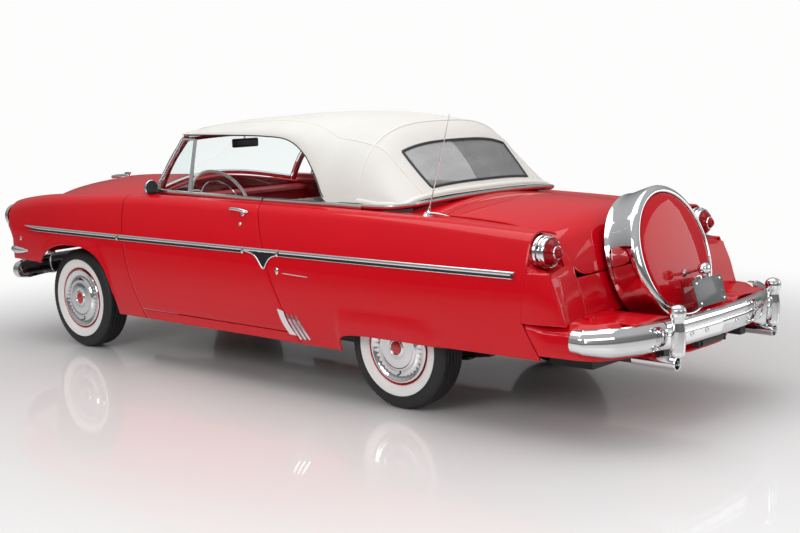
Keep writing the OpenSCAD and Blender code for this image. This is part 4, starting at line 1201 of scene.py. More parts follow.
        def rim(u: Array, t: Array) -> Array:
            """Round the mouth by u and in to its edge by t."""
            turn = 2 * math.pi * u
            c, s = np.cos(turn), np.sin(turn)
            k = np.maximum(np.abs(c), np.abs(s)) ** -1
            box_x, box_z = c * k, s * k
            round_x = np.sign(c) * np.abs(c) ** 0.5
            round_z = np.sign(s) * np.abs(s) ** 0.5
            mix = bump(t, 0, 1)
            x = (box_x * 0.535) * (1 - mix) + round_x * 0.41 * mix
            mid = (0.584 + self.brow(x)) / 2
            high = (self.brow(x) - 0.584) / 2
            z = mid + high * (box_z * (1 - mix) + round_z * 0.66 * mix)
            s_x = x / 0.535
            d = -0.812 + 0.044 * s_x**2 - 0.014 + 0.022 * (1 - bump(z, 0.6, 0.9)) + 0.02 * t**3
            return np.column_stack([x, SHAPE.y(d), z])

        piece = ring_free(sheet_of("nose_rim", rim, 96, 16))
        finish_with(piece, "SOLIDIFY", thickness=self.wall, offset=1.0, use_even_offset=False)
        smooth(piece, 40)
        SHOP.place(piece, PAINT, "body", "nose_panel")

    @staticmethod
    def brow(x: Array) -> Array:
        """Height of the bonnet's front edge."""
        t = np.clip((x / 0.56 + 1) / 2, 0, 1)
        return SHAPE.hood(np.zeros_like(x), t)[:, 2] - 0.014

    def build_door_insides(self) -> None:
        """Each door's inner trim panel, behind its skin."""

        def trim(u: Array, t: Array) -> Array:
            """The door's inner face."""
            p = SHAPE.door(0.03 + 0.93 * u, 0.02 + 0.96 * t)
            middle = SHAPE.door_front + u * SHAPE.door_length
            out = SHAPE.out(middle, np.full_like(u, 0.6))
            p = p - out * 0.056
            p[:, 0] = np.minimum(p[:, 0], 0.868)
            return p

        piece = sheet_of("door_trim_left", trim, 24, 24, True)
        finish_with(piece, "SOLIDIFY", thickness=0.004, offset=-1.0)
        smooth(piece)
        SHOP.place(piece, RED_HIDE, "door_left")
        SHOP.place(smooth(mirrored(piece, "door_trim_right")), RED_HIDE, "door_right")


def ring_free(piece: bpy.types.Object) -> bpy.types.Object:
    """Close a sheet whose first and last columns meet."""
    return merge(piece, 1e-5)


# --- Wheels -----------------------------------------------------------------------------------


def dress_where(piece: bpy.types.Object, finish: Finish, test: Callable[[Array], Array]) -> None:
    """Give a second finish to the faces whose middles pass a test.

    Args:
        piece: A piece that already has its first finish.
        finish: The second one.
        test: Says for rows of X, Y and Z which faces take it.
    """
    piece.data.materials.append(finish.material())
    index = len(piece.data.materials) - 1
    middles = np.empty(len(piece.data.polygons) * 3)
    piece.data.polygons.foreach_get("center", middles)
    chosen = test(middles.reshape(-1, 3))
    current = np.empty(len(piece.data.polygons), dtype=np.int32)
    piece.data.polygons.foreach_get("material_index", current)
    current[chosen] = index
    piece.data.polygons.foreach_set("material_index", current)
    piece.data.update()


def copied(piece: bpy.types.Object, name: str, move: Point, flip: bool = False) -> bpy.types.Object:
    """Copy a piece with its own mesh to another place, or to the other side's mirror image."""
    copy = piece.copy()
    copy.data = piece.data.copy()
    copy.name = name
    bpy.context.scene.collection.objects.link(copy)
    sign = np.array([-1.0 if flip else 1.0, 1.0, 1.0])
    set_coordinates(copy, (coordinates(copy) + np.array(move)) * sign)
    if flip:
        edit(copy, lambda: bpy.ops.mesh.flip_normals())
    return copy


@dataclass
class Wheels:
    """Four whitewall tyres on red wheels under stepped bright covers."""

    radius: float = 0.342
    white_edge: float = 0.2665
    ring: float = 0.2085
    steps: int = 144

    def tyre(self) -> bpy.types.Object:
        """The tyre, about the X axis at the origin, outboard towards +X."""
        r = self.radius
        wall = [(0.200, 0.058), (0.207, 0.068), (0.212, 0.0745), (0.218, 0.0785), (0.230, 0.0840),
                (0.246, 0.0875), (0.262, 0.0888), (0.2655, 0.0892), (0.2675, 0.0872), (0.272, 0.0880),
                (0.286, 0.0880), (0.302, 0.0856), (0.312, 0.0826), (0.316, 0.0806), (0.326, 0.0765),
                (0.333, 0.0700), (0.3365, 0.0650)]
        ribs = []
        for middle in (0.050, 0.025, 0.0, -0.025, -0.050):
            top = r - 0.0012 - 0.9 * (middle / 0.06) ** 2 * 0.004
            ribs += [(top - 0.008, middle + 0.0112), (top - 0.0008, middle + 0.0098), (top, middle + 0.008),
                     (top, middle - 0.008), (top - 0.0008, middle - 0.0098), (top - 0.008, middle - 0.0112)]
        other = [(a, -b) for a, b in reversed(wall)]
        piece = turned("tyre_master", [*wall, *ribs, *other, (0.196, 0.0), wall[0]], (0, 0, 0), (1, 0, 0),
                       self.steps * 2, 28)
        points = coordinates(piece)
        rho = np.hypot(points[:, 1], points[:, 2])
        angle = np.arctan2(points[:, 2], points[:, 1])
        tread = (rho > r - 0.009) & (np.abs(points[:, 0]) < 0.062)
        wave = 0.0022 * np.sign(np.sin(angle * 48)) * np.where(tread, 1, 0)
        points[:, 0] += wave * np.cos(points[:, 0] * 120)
        shoulder = (rho > 0.318) & (np.abs(points[:, 0]) > 0.062) & (np.abs(points[:, 0]) < 0.083)
        cut = np.where(shoulder & (np.sin(angle * 72) > 0.35), 0.0026, 0)
        scale = (rho - cut) / np.maximum(rho, 1e-6)
        points[:, 1:] *= scale[:, None]
        set_coordinates(piece, points)
        piece.data.materials.append(TYRE.material())
        low, high = self.ring - 0.002, self.white_edge
        dress_where(piece, WHITEWALL, lambda c: (np.hypot(c[:, 1], c[:, 2]) < high)
                    & (np.hypot(c[:, 1], c[:, 2]) > low) & (c[:, 0] > 0.05))
        return piece

    def rim(self) -> bpy.types.Object:
        """The painted steel wheel: its rolled edge shows round the cover."""
        profile = [(0.024, -0.048), (0.062, -0.048), (0.064, 0.0), (0.172, 0.012), (0.184, 0.004),
                   (0.186, -0.06), (0.206, -0.070), (0.209, -0.074), (0.207, -0.079), (0.200, -0.078),
                   (0.190, -0.060), (0.190, 0.058), (0.199, 0.064), (0.204, 0.072), (0.2085, 0.0765),
                   (0.2100, 0.0735), (0.2070, 0.0700), (0.2030, 0.0660), (0.196, 0.060), (0.188, 0.050),
                   (0.182, 0.030), (0.170, 0.022), (0.060, 0.012), (0.024, 0.012), (0.024, -0.048)]
        return turned("rim_master", profile, (0, 0, 0), (1, 0, 0), self.steps, 30)

    def cover(self) -> bpy.types.Object:
        """The bright cover: a rolled edge, a dished band, a ridge and a domed middle."""
        profile = [(0.1700, 0.060), (0.1955, 0.066), (0.1985, 0.0705), (0.1985, 0.0745), (0.1955, 0.0780),
                   (0.1900, 0.0795), (0.1850, 0.0785), (0.1800, 0.0750), (0.1700, 0.0700), (0.1580, 0.0675),
                   (0.1460, 0.0685), (0.1370, 0.0720), (0.1310, 0.0765), (0.1270, 0.0815), (0.1230, 0.0840),
                   (0.1180, 0.0842), (0.1140, 0.0825), (0.1100, 0.0822), (0.0950, 0.0848), (0.0760, 0.0872),
                   (0.0620, 0.0882), (0.0560, 0.0870), (0.0520, 0.0872), (0.0490, 0.0900), (0.0450, 0.0925),
                   (0.0405, 0.0930), (0.0380, 0.0915), (0.0360, 0.0880), (0.0, 0.0880), ]
        piece = turned("cover_master", profile, (0, 0, 0), (1, 0, 0), self.steps, 30)
        points = coordinates(piece)
        rho = np.hypot(points[:, 1], points[:, 2])
        angle = np.arctan2(points[:, 2], points[:, 1])
        band = (rho > 0.142) & (rho < 0.176)
        points[:, 0] += np.where(band, 0.0010 * np.cos(angle * 36), 0)
        set_coordinates(piece, points)
        return piece

    def medallion(self) -> bpy.types.Object:
        """A plain red boss in the middle of the cover."""
        profile = [(0.0355, 0.0865), (0.0355, 0.0905), (0.0340, 0.0925), (0.0300, 0.0945), (0.0220, 0.0962),
                   (0.0120, 0.0972), (0.0, 0.0976)]
        return turned("medallion_master", profile, (0, 0, 0), (1, 0, 0), 48, 40)

    def valve(self) -> bpy.types.Object:
        """The tyre's valve stem, through the wheel cover's band."""
        return turned("valve_master", [(0.0, 0.0), (0.0042, 0.0), (0.0042, 0.012), (0.0032, 0.014),
                                       (0.0032, 0.020), (0.0, 0.021)], (0.066, 0.0, -0.152), (1, 0, 0), 16)

    def build(self) -> None:
        """Build one wheel and copy it to the four hubs."""
        masters = [(self.tyre(), "tyre", TYRE), (self.rim(), "rim", RED_RIM), (self.cover(), "cover", CHROME),
                   (self.medallion(), "medallion", RED_RIM), (self.valve(), "valve", BLACK)]
        for end, y in (("front", SHAPE.front_axle_y), ("rear", SHAPE.front_axle_y + SHAPE.wheelbase)):
            for side in Side:
                body = f"wheel_{end}_{side.word}"
                for master, kind, finish in masters:
                    name = f"{kind}_{end}_{side.word}_look"
                    move = (SHAPE.wheel_x, y, self.radius)
                    piece = copied(master, name, move, side is Side.RIGHT)
                    node = {"tyre": f"tyre_{end}_{side.word}", "rim": f"wheel_{end}_{side.word}"}.get(kind)
                    SHOP.place(smooth(piece, 30), finish, body, *([node] if node else []))
        for master, _, _ in masters:
            bpy.data.objects.remove(master)


# --- Bright trim --------------------------------------------------------------------------------


@dataclass
class SideTrim:
    """The body-side moulding with its dip, the belt moulding, handles and the stone guard."""

    low: float = 0.797
    high: float = 0.835

    def strip(self, name: str, first: float, last: float, low: float, high: float, lift: float,
              finish: Finish, body: str, steps: int = 60, tip: float = 0.0, slant: float = 0.0) -> None:
        """Lay a rounded strip along the body side, and its mirror image.

        Args:
            name: The strip's name.
            first: Station of its front end.
            last: Station of its rear end.
            low: Height of its lower edge.
            high: Height of its upper edge.
            lift: How far it stands off the skin.
            finish: Its surface.
            body: The body on the left side that carries it.
            steps: Cells along it.
            tip: Length over which the front end narrows to a point.
            slant: How far the rear end's lower corner runs on.
        """
        across = 10

        def surface(u: Array, v: Array) -> Array:
            """Round the strip's section by v and along it by u."""
            turn = 2 * math.pi * v
            up, out = -np.cos(turn), np.sin(turn)
            d = first + (last - first) * u
            size = np.ones_like(u) if tip == 0 else np.sqrt(np.clip((d - first) / tip, 0.0004, 1))
            middle = (low + high) / 2 + (high - low) * 0.35 * (1 - size)
            z = middle + up * (high - low) / 2 * size
            d = d + slant * (0.5 - (z - low) / (high - low)) * bump(u, 0.95, 1.0)
            rise = np.where(out > 0, lift * np.abs(out) ** 0.6, -0.003)
            return SHAPE.side(d, z, rise * (0.3 + 0.7 * size))

        piece = ring_of(f"{name}_left", lambda u, v: surface(v, u), across * 2, steps)
        SHOP.place(smooth(piece, 50), finish, body)
        other = mirrored(piece, f"{name}_right")
        SHOP.place(smooth(other, 50), finish, body.replace("left", "right"))

    def moulding(self) -> None:
        """The long moulding: a bright upper bead, a black channel and a bright lower lip."""
        runs = [("front", -0.50, 0.628, "body", 0.20, 0.0), ("door", 0.652, 1.845, "door_left", 0.0, 0.0),
                ("after", 2.165, 3.79, "body", 0.0, -0.03)]
        for label, first, last, body, tip, slant in runs:
            self.strip(f"side_bead_{label}", first, last, 0.812, self.high, 0.0125, CHROME, body, 90, tip,
                       slant)
            self.strip(f"side_channel_{label}", first + 0.03 * (tip > 0), last - 0.004, 0.800, 0.813, 0.006,
                       BLACK, body, 60, tip, slant)
            self.strip(f"side_lip_{label}", first + 0.05 * (tip > 0), last, self.low, 0.8015, 0.0085, CHROME,
                       body, 60, tip * 0.8, slant)
        for d, body in ((0.640, "door_left"), (1.856, "door_left"), (2.152, "body")):
            self.strip(f"moulding_joint_{int(d * 1000)}", d - 0.008, d + 0.008, self.low - 0.002,
                       self.high + 0.002, 0.0145, CHROME, body, 6)

    def dip(self) -> None:
        """The pointed dip in the moulding behind the handle."""
        outline = [(1.862, .812), (1.905, .806), (1.945, .796), (1.975, .778), (2.003, .750), (2.024, .728),
                   (2.036, .721), (2.047, .728), (2.058, .748), (2.077, .775), (2.103, .792), (2.130, .799),
                   (2.148, .802)]
        curve = resample(outline)

        def fill(u: Array, t: Array) -> Array:
            """The dark field between the moulding and the dip's edge."""
            edge = curve(u)
            z = edge[:, 1] + (0.816 - edge[:, 1]) * t
            return SHAPE.side(edge[:, 0], z, 0.0045)

        def rim(t: Array) -> Array:
            """The dip's bright edge."""
            edge = curve(t)
            return SHAPE.side(edge[:, 0], edge[:, 1], 0.0045)

        field_piece = sheet_of("dip_field_left", fill, 48, 10)
        finish_with(field_piece, "SOLIDIFY", thickness=0.006, offset=-1.0)
        self.both(field_piece, BLACK)
        edge = sweep("dip_edge_left", rim, self.bead(0.0042),
                     lambda v: SHAPE.side_out(curve(v)[:, 0], curve(v)[:, 1]), 90)
        self.both(edge, CHROME)
        self.strip("dip_bead", 1.866, 2.146, 0.812, self.high, 0.0125, CHROME, "body", 24)

    @staticmethod
    def bead(radius: float, sides: int = 10, flat: float = 1.0) -> list[tuple[float, float]]:
        """A round or flattened section."""
        turns = np.linspace(0, 2 * math.pi, sides, endpoint=False)
        return [(radius * flat * math.cos(a), radius * math.sin(a)) for a in turns]

    @staticmethod
    def both(piece: bpy.types.Object, finish: Finish, body: str = "body", degrees: float = 45) -> None:
        """Place a left-hand piece and its mirror image."""
        SHOP.place(smooth(piece, degrees), finish, body)
        other = mirrored(piece, piece.name.replace("left", "right"))
        SHOP.place(smooth(other, degrees), finish, body.replace("left", "right"))

    def belt_path(self, d: Array) -> Array:
        """The belt moulding's middle line at a station."""
        x = np.interp(d, [0.60, 0.75, 0.95, 1.6, 2.2, 2.7, 3.0], [.650, .690, .728, .738, .740, .733, .700])
        z = np.interp(d, [0.60, 0.92, 1.24, 1.86, 2.46, 2.84, 3.05],
                      [1.112, 1.104, 1.100, 1.091, 1.088, 1.081, 1.081])
        return np.column_stack([x, SHAPE.y(d), z])

    def belt(self) -> None:
        """The broad bright moulding along the belt, in a door length and a quarter length."""
        profile = [(-.012, -.016), (.008, -.018), (.019, -.013), (.024, -.004), (.022, .006), (.014, .013),
                   (.0, .017), (-.012, .016)]
        for label, first, last, body in (("door", 0.665, 1.858, "door_left"), ("after", 1.872, 2.66, "body")):
            path = lambda t, a=first, b=last: self.belt_path(a + (b - a) * t)
            piece = sweep(f"belt_{label}_left", path, [(a, -b) for a, b in profile],
                          lambda v: np.tile([0.94, 0.0, 0.34], (len(v), 1)), 60)
            self.both(piece, SATIN_CHROME, body)

    def rear_belt(self) -> None:
        """The moulding that follows the top's foot round behind the cabin."""
        half_path = [(0.730, 2.64, 1.088), (0.728, 2.74, 1.088), (0.718, 2.83, 1.091), (0.690, 2.90, 1.096),
                     (0.640, 2.945, 1.102), (0.54, 2.972, 1.110), (0.36, 2.992, 1.120), (0.0, 3.002, 1.127)]
        places = [(x, SHAPE.y(d), z) for x, d, z in half_path]
        places += [(-x, y, z) for x, y, z in reversed(places[:-1])]
        path = resample(places)
        centre = np.array([0.0, SHAPE.y(2.3), 0.9])

        def facing(v: Array) -> Array:
            """Away from the cabin and up."""
            away = path(v) - centre
            away[:, 2] = 0.25
            return unit(away * np.array([0.8, 1.0, 1.0]))

        profile = [(-.016, -.012), (.010, -.014), (.020, -.008), (.022, .002), (.014, .011), (-.004, .015),
                   (-.016, .012)]
        piece = sweep("belt_rear", path, profile, facing, 200)
        SHOP.place(piece, SATIN_CHROME, "body")

    def handle(self) -> None:
        """The door's pull handle, its escutcheons and the lock."""
        points = [(1.690, 1.052, .012), (1.72, 1.056, .026), (1.78, 1.055, .030), (1.835, 1.049, .024),
                  (1.856, 1.041, .010)]
        line = resample([tuple(SHAPE.side(np.array([d]), np.array([min(z, 1.049)]),
                                          lift)[0] + np.array([0, 0, max(z - 1.049, 0)]))
                         for d, z, lift in points])
        grip = sweep("handle_left", line, self.bead(0.009, 12, 0.8),
                     lambda v: np.tile([1.0, 0, 0.4], (len(v), 1)), 30,
                     scale=lambda v: np.interp(v, [0, .12, .5, .9, 1], [.45, .9, 1.15, 1.0, .6]))
        self.both(grip, CHROME, "door_left")
        for d, z, r in ((1.806, 1.022, 0.016), (1.80, 0.962, 0.0115)):
            place = SHAPE.side(np.array([d]), np.array([z]))[0]
            out = SHAPE.side_out(np.array([d]), np.array([z]))[0]
            boss = turned(f"lock_{int(z * 1000)}_left",
                          [(r, -.004), (r, .003), (r * .8, .007), (r * .4, .009), (0, .009)],
                          tuple(place), tuple(out), 28)
            self.both(boss, CHROME, "door_left")

    def stone_guard(self) -> None:
        """A bright plate with three slanted fins in front of the rear wheel."""
        plate = [(2.135, .498), (2.185, .487), (2.262, .350), (2.206, .352)]

        def face(u: Array, t: Array) -> Array:
            """The plate between its slanted front and rear edges."""
            (d0, z0), (d1, z1), (d2, z2), (d3, z3) = plate
            z_top, z_low = z0 + (z1 - z0) * u, z3 + (z2 - z3) * u
            d_top, d_low = d0 + (d1 - d0) * u, d3 + (d2 - d3) * u
            bow = -0.012 * np.sin(math.pi * t)
            return SHAPE.side(d_low + (d_top - d_low) * t + bow, z_low + (z_top - z_low) * t, 0.004)

        piece = sheet_of("guard_plate_left", face, 12, 24, False)
        finish_with(piece, "SOLIDIFY", thickness=0.004, offset=-1.0)
        self.both(piece, CHROME)
        for k in range(3):
            shift = 0.036 * k
            ends = [(2.212 + shift, .476 - .002 * k), (2.238 + shift, .425), (2.298 + shift, .332 + .003 * k)]

            def middle(t: Array, ends: list = ends) -> Array:
                """The fin's line."""
                d = np.interp(t, [0, .4, 1], [e[0] for e in ends])
                z = np.interp(t, [0, .4, 1], [e[1] for e in ends])
                return SHAPE.side(d, z, 0.003)

            fin = sweep(f"guard_fin_{k}_left", middle,
                        [(-.004, -.010), (.006, -.008), (.010, 0), (.006, .008), (-.004, .010)],
                        lambda v, ends=ends: SHAPE.side_out(np.interp(v, [0, 1], [ends[0][0], ends[2][0]]),
                                                            np.interp(v, [0, 1], [ends[0][1], ends[2][1]])),
                                                            24,
                        scale=lambda v: np.interp(v, [0, .2, 1], [.35, .9, 1.0]))
            self.both(fin, CHROME)

    def badges(self) -> None:
        """A plain oval and a plain bar where the maker's badges were."""
        place = SHAPE.side(np.array([2.148]), np.array([0.715]))[0]
        out = SHAPE.side_out(np.array([2.148]), np.array([0.715]))[0]
        boss = turned("side_boss_left", [(.0125, -.003), (.0125, .003), (.009, .006), (0, .0075)],
                      tuple(place), tuple(out), 28)
        points = coordinates(boss)
        points[:, 2] = place[2] + (points[:, 2] - place[2]) * 1.7
        set_coordinates(boss, points)
        self.both(boss, CHROME)

        def bar(t: Array) -> Array:
            """The bar's line."""
            return SHAPE.side(2.19 + 0.21 * t, 0.706 - 0.006 * t, 0.002)

        piece = sweep("side_bar_left", bar, self.bead(0.0035),
                      lambda v: SHAPE.side_out(2.19 + 0.21 * v, 0.706 + 0 * v), 30,
                      scale=lambda v: np.interp(v, [0, .1, .9, 1], [.3, 1, 1, .3]))
        self.both(piece, CHROME)
        place = SHAPE.side(np.array([-0.545]), np.array([0.735]))[0]
        out = SHAPE.side_out(np.array([-0.545]), np.array([0.735]))[0]
        boss = turned("nose_boss_left", [(.015, -.003), (.015, .003), (.011, .006), (0, .0075)], tuple(place),
                      tuple(out), 24)
        self.both(boss, CHROME)

    def build(self) -> None:
        """Build the side trim."""
        self.moulding()
        self.dip()
        self.belt()
        self.rear_belt()
        self.handle()
        self.stone_guard()
        self.badges()


# --- Rear end -----------------------------------------------------------------------------------


@dataclass
class Bumper:
    """A bowed bumper: a ribbed bar, wrapped wings, two guards and their bolts."""

    name: str = "rear"
    face: float = 4.448
    toward: float = 1.0
    low: float = 0.448
    height: float = 0.142
    reach: float = 0.926
    guard_x: float = 0.50
    bar: Curve = Curve(np.array([[0, 0, 0], [.36, 0, .014], [.6, 0, .052], [.8, 0, .128], [.92, 0, .214],
                                 [1, 0, .300]]))

    def plan(self, w: Array) -> tuple[Array, Array]:
        """Where the bar's face runs, w from -1 to 1 across."""
        a = np.abs(w)
        x = np.sign(w) * np.minimum(a * 1.06, 1 - 0.35 * (1 - a) ** 2) * self.reach
        return x, SHAPE.y(self.face - self.toward * self.bar(a, 2))

    def skin(self, first: float, last: float, section: Array, grow: float) -> Surface:
        """The bar's face between two places.

        Args:
            first: Where it starts, from -1 to 1 across.
            last: Where it ends.
            section: Rows of (out, height share) from the lower return over the face to the upper.
            grow: How much the bar swells outwards at its outer end.
        """
        def surface(u: Array, t: Array) -> Array:
            """Across by u and up the section by t."""
            w = first + (last - first) * u
            x, y = self.plan(w)
            xa, ya = self.plan(w - 0.01)
            xb, yb = self.plan(w + 0.01)
            n = unit(np.column_stack([yb - ya, -(xb - xa)])) * -self.toward
            n = n * np.sign(n[:, 1:2] * self.toward + 1e-9) * np.where(n[:, 1:2] * self.toward < 0, -1, 1)
            k = t * (len(section) - 1)
            out = np.interp(k, range(len(section)), section[:, 0]) * (1 + grow * np.abs(w))
            up = np.interp(k, range(len(section)), section[:, 1])
            end = 1 - 0.22 * bump(np.abs(w), 0.80, 1.0) * (1 - up)
            z = self.low + self.height * (1 - (1 - up) * end)
            return np.column_stack([x + n[:, 0] * out, y + n[:, 1] * out, z])

        return surface

    def guard(self) -> None:
        """One over-rider on each side: a narrow post under a bullet-shaped cap."""
        y = SHAPE.y(self.face) + self.toward * 0.026
        z0 = self.low - 0.022
        path = resample([(self.guard_x, y, z0), (self.guard_x, y + self.toward * 0.006, z0 + 0.08),
                         (self.guard_x, y + self.toward * 0.004, z0 + 0.16), (self.guard_x, y, z0 + 0.258)])
        turns = np.linspace(0, 2 * math.pi, 40, endpoint=False)
        section = [(0.034 * np.sign(math.cos(a)) * abs(math.cos(a)) ** 0.8,
                    0.030 * math.sin(a)) for a in turns]
        sizes = ([0, .02, .06, .12, .5, .66, .72, .78, .84, .90, .95, .985, 1],
                 [.55, .85, 1.0, 1.05, 1.0, .86, .92, 1.12, 1.24, 1.22, 1.02, .62, .2])
        post = sweep(f"{self.name}_guard_left", path, section,
                     lambda v: np.tile([0.0, self.toward, 0.0], (len(v), 1)), 120,
                     scale=lambda v: np.interp(v, *sizes), degrees=60)
        SideTrim.both(post, CHROME, "body", 60)

    def build(self) -> None:
        """Build the bar, the wings, the guards and the bolts."""
        section = np.array([(-.052, .02), (-.034, .0), (-.022, .01), (-.014, .05), (-.006, .16), (.0, .34),
                            (.004, .50),
                            (.001, .58), (-.003, .62), (.000, .66), (-.001, .80), (-.008, .93), (-.018, .985),
                            (-.032, 1.0), (-.052, .985)])
        wing = np.array([(-.054, .03), (-.036, .0), (-.020, .015), (-.008, .07), (.002, .2), (.008, .38),
                         (.009, .55),
                         (.004, .75), (-.006, .89), (-.018, .97), (-.034, 1.0), (-.054, .985)])
        parts = [("bar", -0.50, 0.50, section, 0.0, 96), ("wing", 0.505, 1.0, wing, 0.25, 72),
                 ("wing_right", -1.0, -0.505, wing, 0.25, 72)]
        for label, first, last, rows, grow, cells in parts:
            piece = sheet_of(f"{self.name}_{label}", self.skin(first, last, rows, grow), cells, 46,
                             self.toward > 0)
            finish_with(piece, "SOLIDIFY", thickness=0.004, offset=-1.0, use_even_offset=False)
            smooth(piece, 50)
            node = [f"{self.name}_bumper"] if label == "bar" else []
            SHOP.place(piece, CHROME, "body", *node)
        self.guard()
        bolts = []
        for k, w in enumerate((-0.30, -0.16, 0.16, 0.30)):
            x, y = self.plan(np.array([w]))
            bolts.append(turned(f"bolt_{k}", [(.013, -.004), (.013, .001), (.010, .0045), (.005, .006),
                                              (0, .0063)],
                                (float(x[0]), float(y[0]) + self.toward * 0.003,
                                 self.low + 0.4 * self.height),
                                (0, self.toward, 0), 20))
        SHOP.place(join(f"{self.name}_bumper_bolts", bolts), CHROME, "body")


@dataclass
class RearEnd:
    """Tail lamps, the covered spare wheel, the plate and the exhaust tips."""

    spare: Point = (0.0, 4.18, 0.86)
    lean: float = 17.0
    disc: float = 0.318
    lip: float = 0.044
    depth: float = 0.19

    def lamps(self) -> None:
        """A stepped bright bezel with a ringed red lens at each rear corner."""
        place, axis = (0.754, SHAPE.y(3.869), 0.925), (0.0, 1.0, 0.0)
        bezel = turned("lamp_bezel_left", [(.060, -.02), (.0835, -.02), (.0845, .0), (.0838, .012),
                                           (.0812, .016), (.0812, .022),
                       (.0830, .026), (.0830, .036), (.0808, .040), (.0785, .0402), (.0785, .046),
                       (.0790, .050),
                       (.0778, .058), (.0740, .062), (.0705, .060), (.0690, .050), (.060, .046),
                       (.060, -.02)],
                       place, axis, 96)
        SHOP.place(bezel, CHROME, "body", "taillamps")
        notches = []
        for k in range(8):
            a = 2 * math.pi * (k + 0.5) / 8
            c, s = math.cos(a), math.sin(a)
            notch = block(f"notch_{k}", (-0.009, -0.007, -0.0022), (0.009, 0.007, 0.0022), 0.001, 2)
            turn = Matrix.Translation((place[0] + 0.0822 * c, place[1] + 0.030,
                                       place[2] + 0.0822 * s)) @ Matrix.Rotation(-a + math.pi / 2, 4, "Y")
            notch.matrix_world = turn
            notches.append(settle(notch))
        SHOP.place(join("lamp_notches_left", notches), BLACK, "body")
        lens = turned("lamp_lens_left", [(.060, .040), (.0700, .046), (.0695, .058), (.0675, .064),
                                         (.0655, .0665), (.0640, .0650),
                      (.0620, .0700), (.0595, .0745), (.0575, .0735), (.0550, .0785), (.0520, .0825),
                      (.0500, .0815),
                      (.0470, .0860), (.0430, .0895), (.0405, .0890), (.0370, .0925), (.0335, .0940)],
                      place, axis, 96, 20)
        SHOP.place(lens, LENS, "body")
        ring = turned("lamp_ring_left", [(.0330, .090), (.0355, .093), (.0350, .0975), (.0320, .0990),
                                         (.0295, .0975), (.0295, .090), (.0330, .090)],
                      place, axis, 64)
        SHOP.place(ring, CHROME, "body")
        cone = turned("lamp_cone_left", [(.0298, .088), (.0298, .098), (.0270, .104), (.0220, .110),
                                         (.0195, .111), (.0150, .116),
                      (.0080, .1195), (0, .1205)], place, axis, 48, 24)
        SHOP.place(cone, LENS, "body")
        for piece, finish in ((bezel, CHROME), (bpy.data.objects["lamp_notches_left"], BLACK), (lens, LENS),
                              (ring, CHROME), (cone, LENS)):
            SHOP.place(smooth(mirrored(piece, piece.name.replace("left", "right")), 30), finish, "body")

    def at_spare(self, r: float, along: float) -> Point:
        """A place in the spare's middle plane, r below its centre and along its axis."""
        a = math.radians(self.lean)
        return (0.0, float(SHAPE.y(self.spare[1])) + along * math.cos(a) + r * math.sin(a),
                self.spare[2] + along * math.sin(a) - r * math.cos(a))

    def cover(self) -> None:
        """The spare wheel's bright band, painted disc and the dark tyre behind."""
        a = math.radians(self.lean)
        place, axis = self.at_spare(0, 0), (0.0, math.cos(a), math.sin(a))
        r, band = self.disc, self.disc + self.lip
        face = turned("spare_disc", [(0, .0175), (.08, .0168), (.16, .0140), (.24, .0085), (.29, .0030),
                                     (.308, -.0010),
                      (.3145, -.0045), (.3165, -.0100), (.3165, -.02), (.0, -.02)], place, axis, 144, 30)
        SHOP.place(face, PAINT, "spare_carrier", "spare_cover")
        ring = turned("spare_band_look", [(r + .0015, -.020), (r + .0015, -.003), (r + .004, .0015),
                                          (r + .008, .0035), (r + .014, .0030),
                      (r + .026, -.0020), (r + .036, -.0085), (band - .003, -.0150), (band - .0004, -.0215),
                      (band, -.030), (band - .001, -.06), (band - .004, -.11), (band - .006, -.150),
                      (band - .005, -.172),
                      (band - .001, -.182), (band, -.188), (band - .003, -.1915), (band - .010, -.1900),
                      (band - .012, -.180), (band - .012, -.040), (r + .020, -.022), (r + .0015, -.020)],
                      place, axis, 180, 35, smoothly=False)
        SHOP.place(ring, CHROME, "spare_carrier", "spare_band")
        drum = turned("spare_drum", [(.09, -.030), (.09, -.178), (.15, -.1790), (.26, -.1795), (.318, -.174),
                                     (.336, -.160),
                      (.342, -.14), (.342, -.05), (.30, -.032), (.09, -.030)], place, axis, 96, 40)
        SHOP.place(drum, TYRE, "spare_carrier")

    def plate(self) -> None:
        """The blank plate on its posts, with its bolts and the lamp above."""
        a = math.radians(self.lean)
        centre = self.at_spare(0.235, 0.131)
        turn = Matrix.Translation(centre) @ Matrix.Rotation(a, 4, "X")
        flat = block("plate_blank", (-0.148, -0.0022, -0.070), (0.148, 0.0022, 0.070), 0.0018, 2)
        flat.matrix_world = turn
        settle(flat)
        SHOP.place(smooth(flat), PLATE, "spare_carrier", "plate_bracket")
        bolts = []
        for x in (-0.118, 0.118):
            for z in (-0.052, 0.052):
                bolt = turned("plate_bolt", [(.008, .0), (.008, .003), (.005, .0055), (0, .006)],
                              (x, 0.0022, z), (0, 1, 0), 16)
                bolt.matrix_world = turn
                bolts.append(settle(bolt))
        for x in (-0.046, 0.040):
            post = block("plate_post", (x - 0.004, -0.113, 0.045), (x + 0.010, -0.0022, 0.088), 0.002, 2)
            post.matrix_world = turn
            bolts.append(settle(post))
        SHOP.place(join("plate_fittings", bolts), CHROME, "spare_carrier")
        place, axis = self.at_spare(0.118, 0.020), (0.0, math.cos(a), math.sin(a))
        stem = turned("lamp_stem", [(0, -.006), (.020, -.006), (.020, .002), (.010, .008), (.0075, .05),
                                    (.0085, .082), (.020, .088),
                      (.0265, .094), (.0285, .104), (.0285, .120), (.0260, .131), (.0195, .139), (.010, .143),
                      (0, .144)],
                      place, axis, 48, 30)
        points = coordinates(stem)
        points[:, 0] *= 1.35
        set_coordinates(stem, points)
        SHOP.place(stem, CHROME, "spare_carrier")

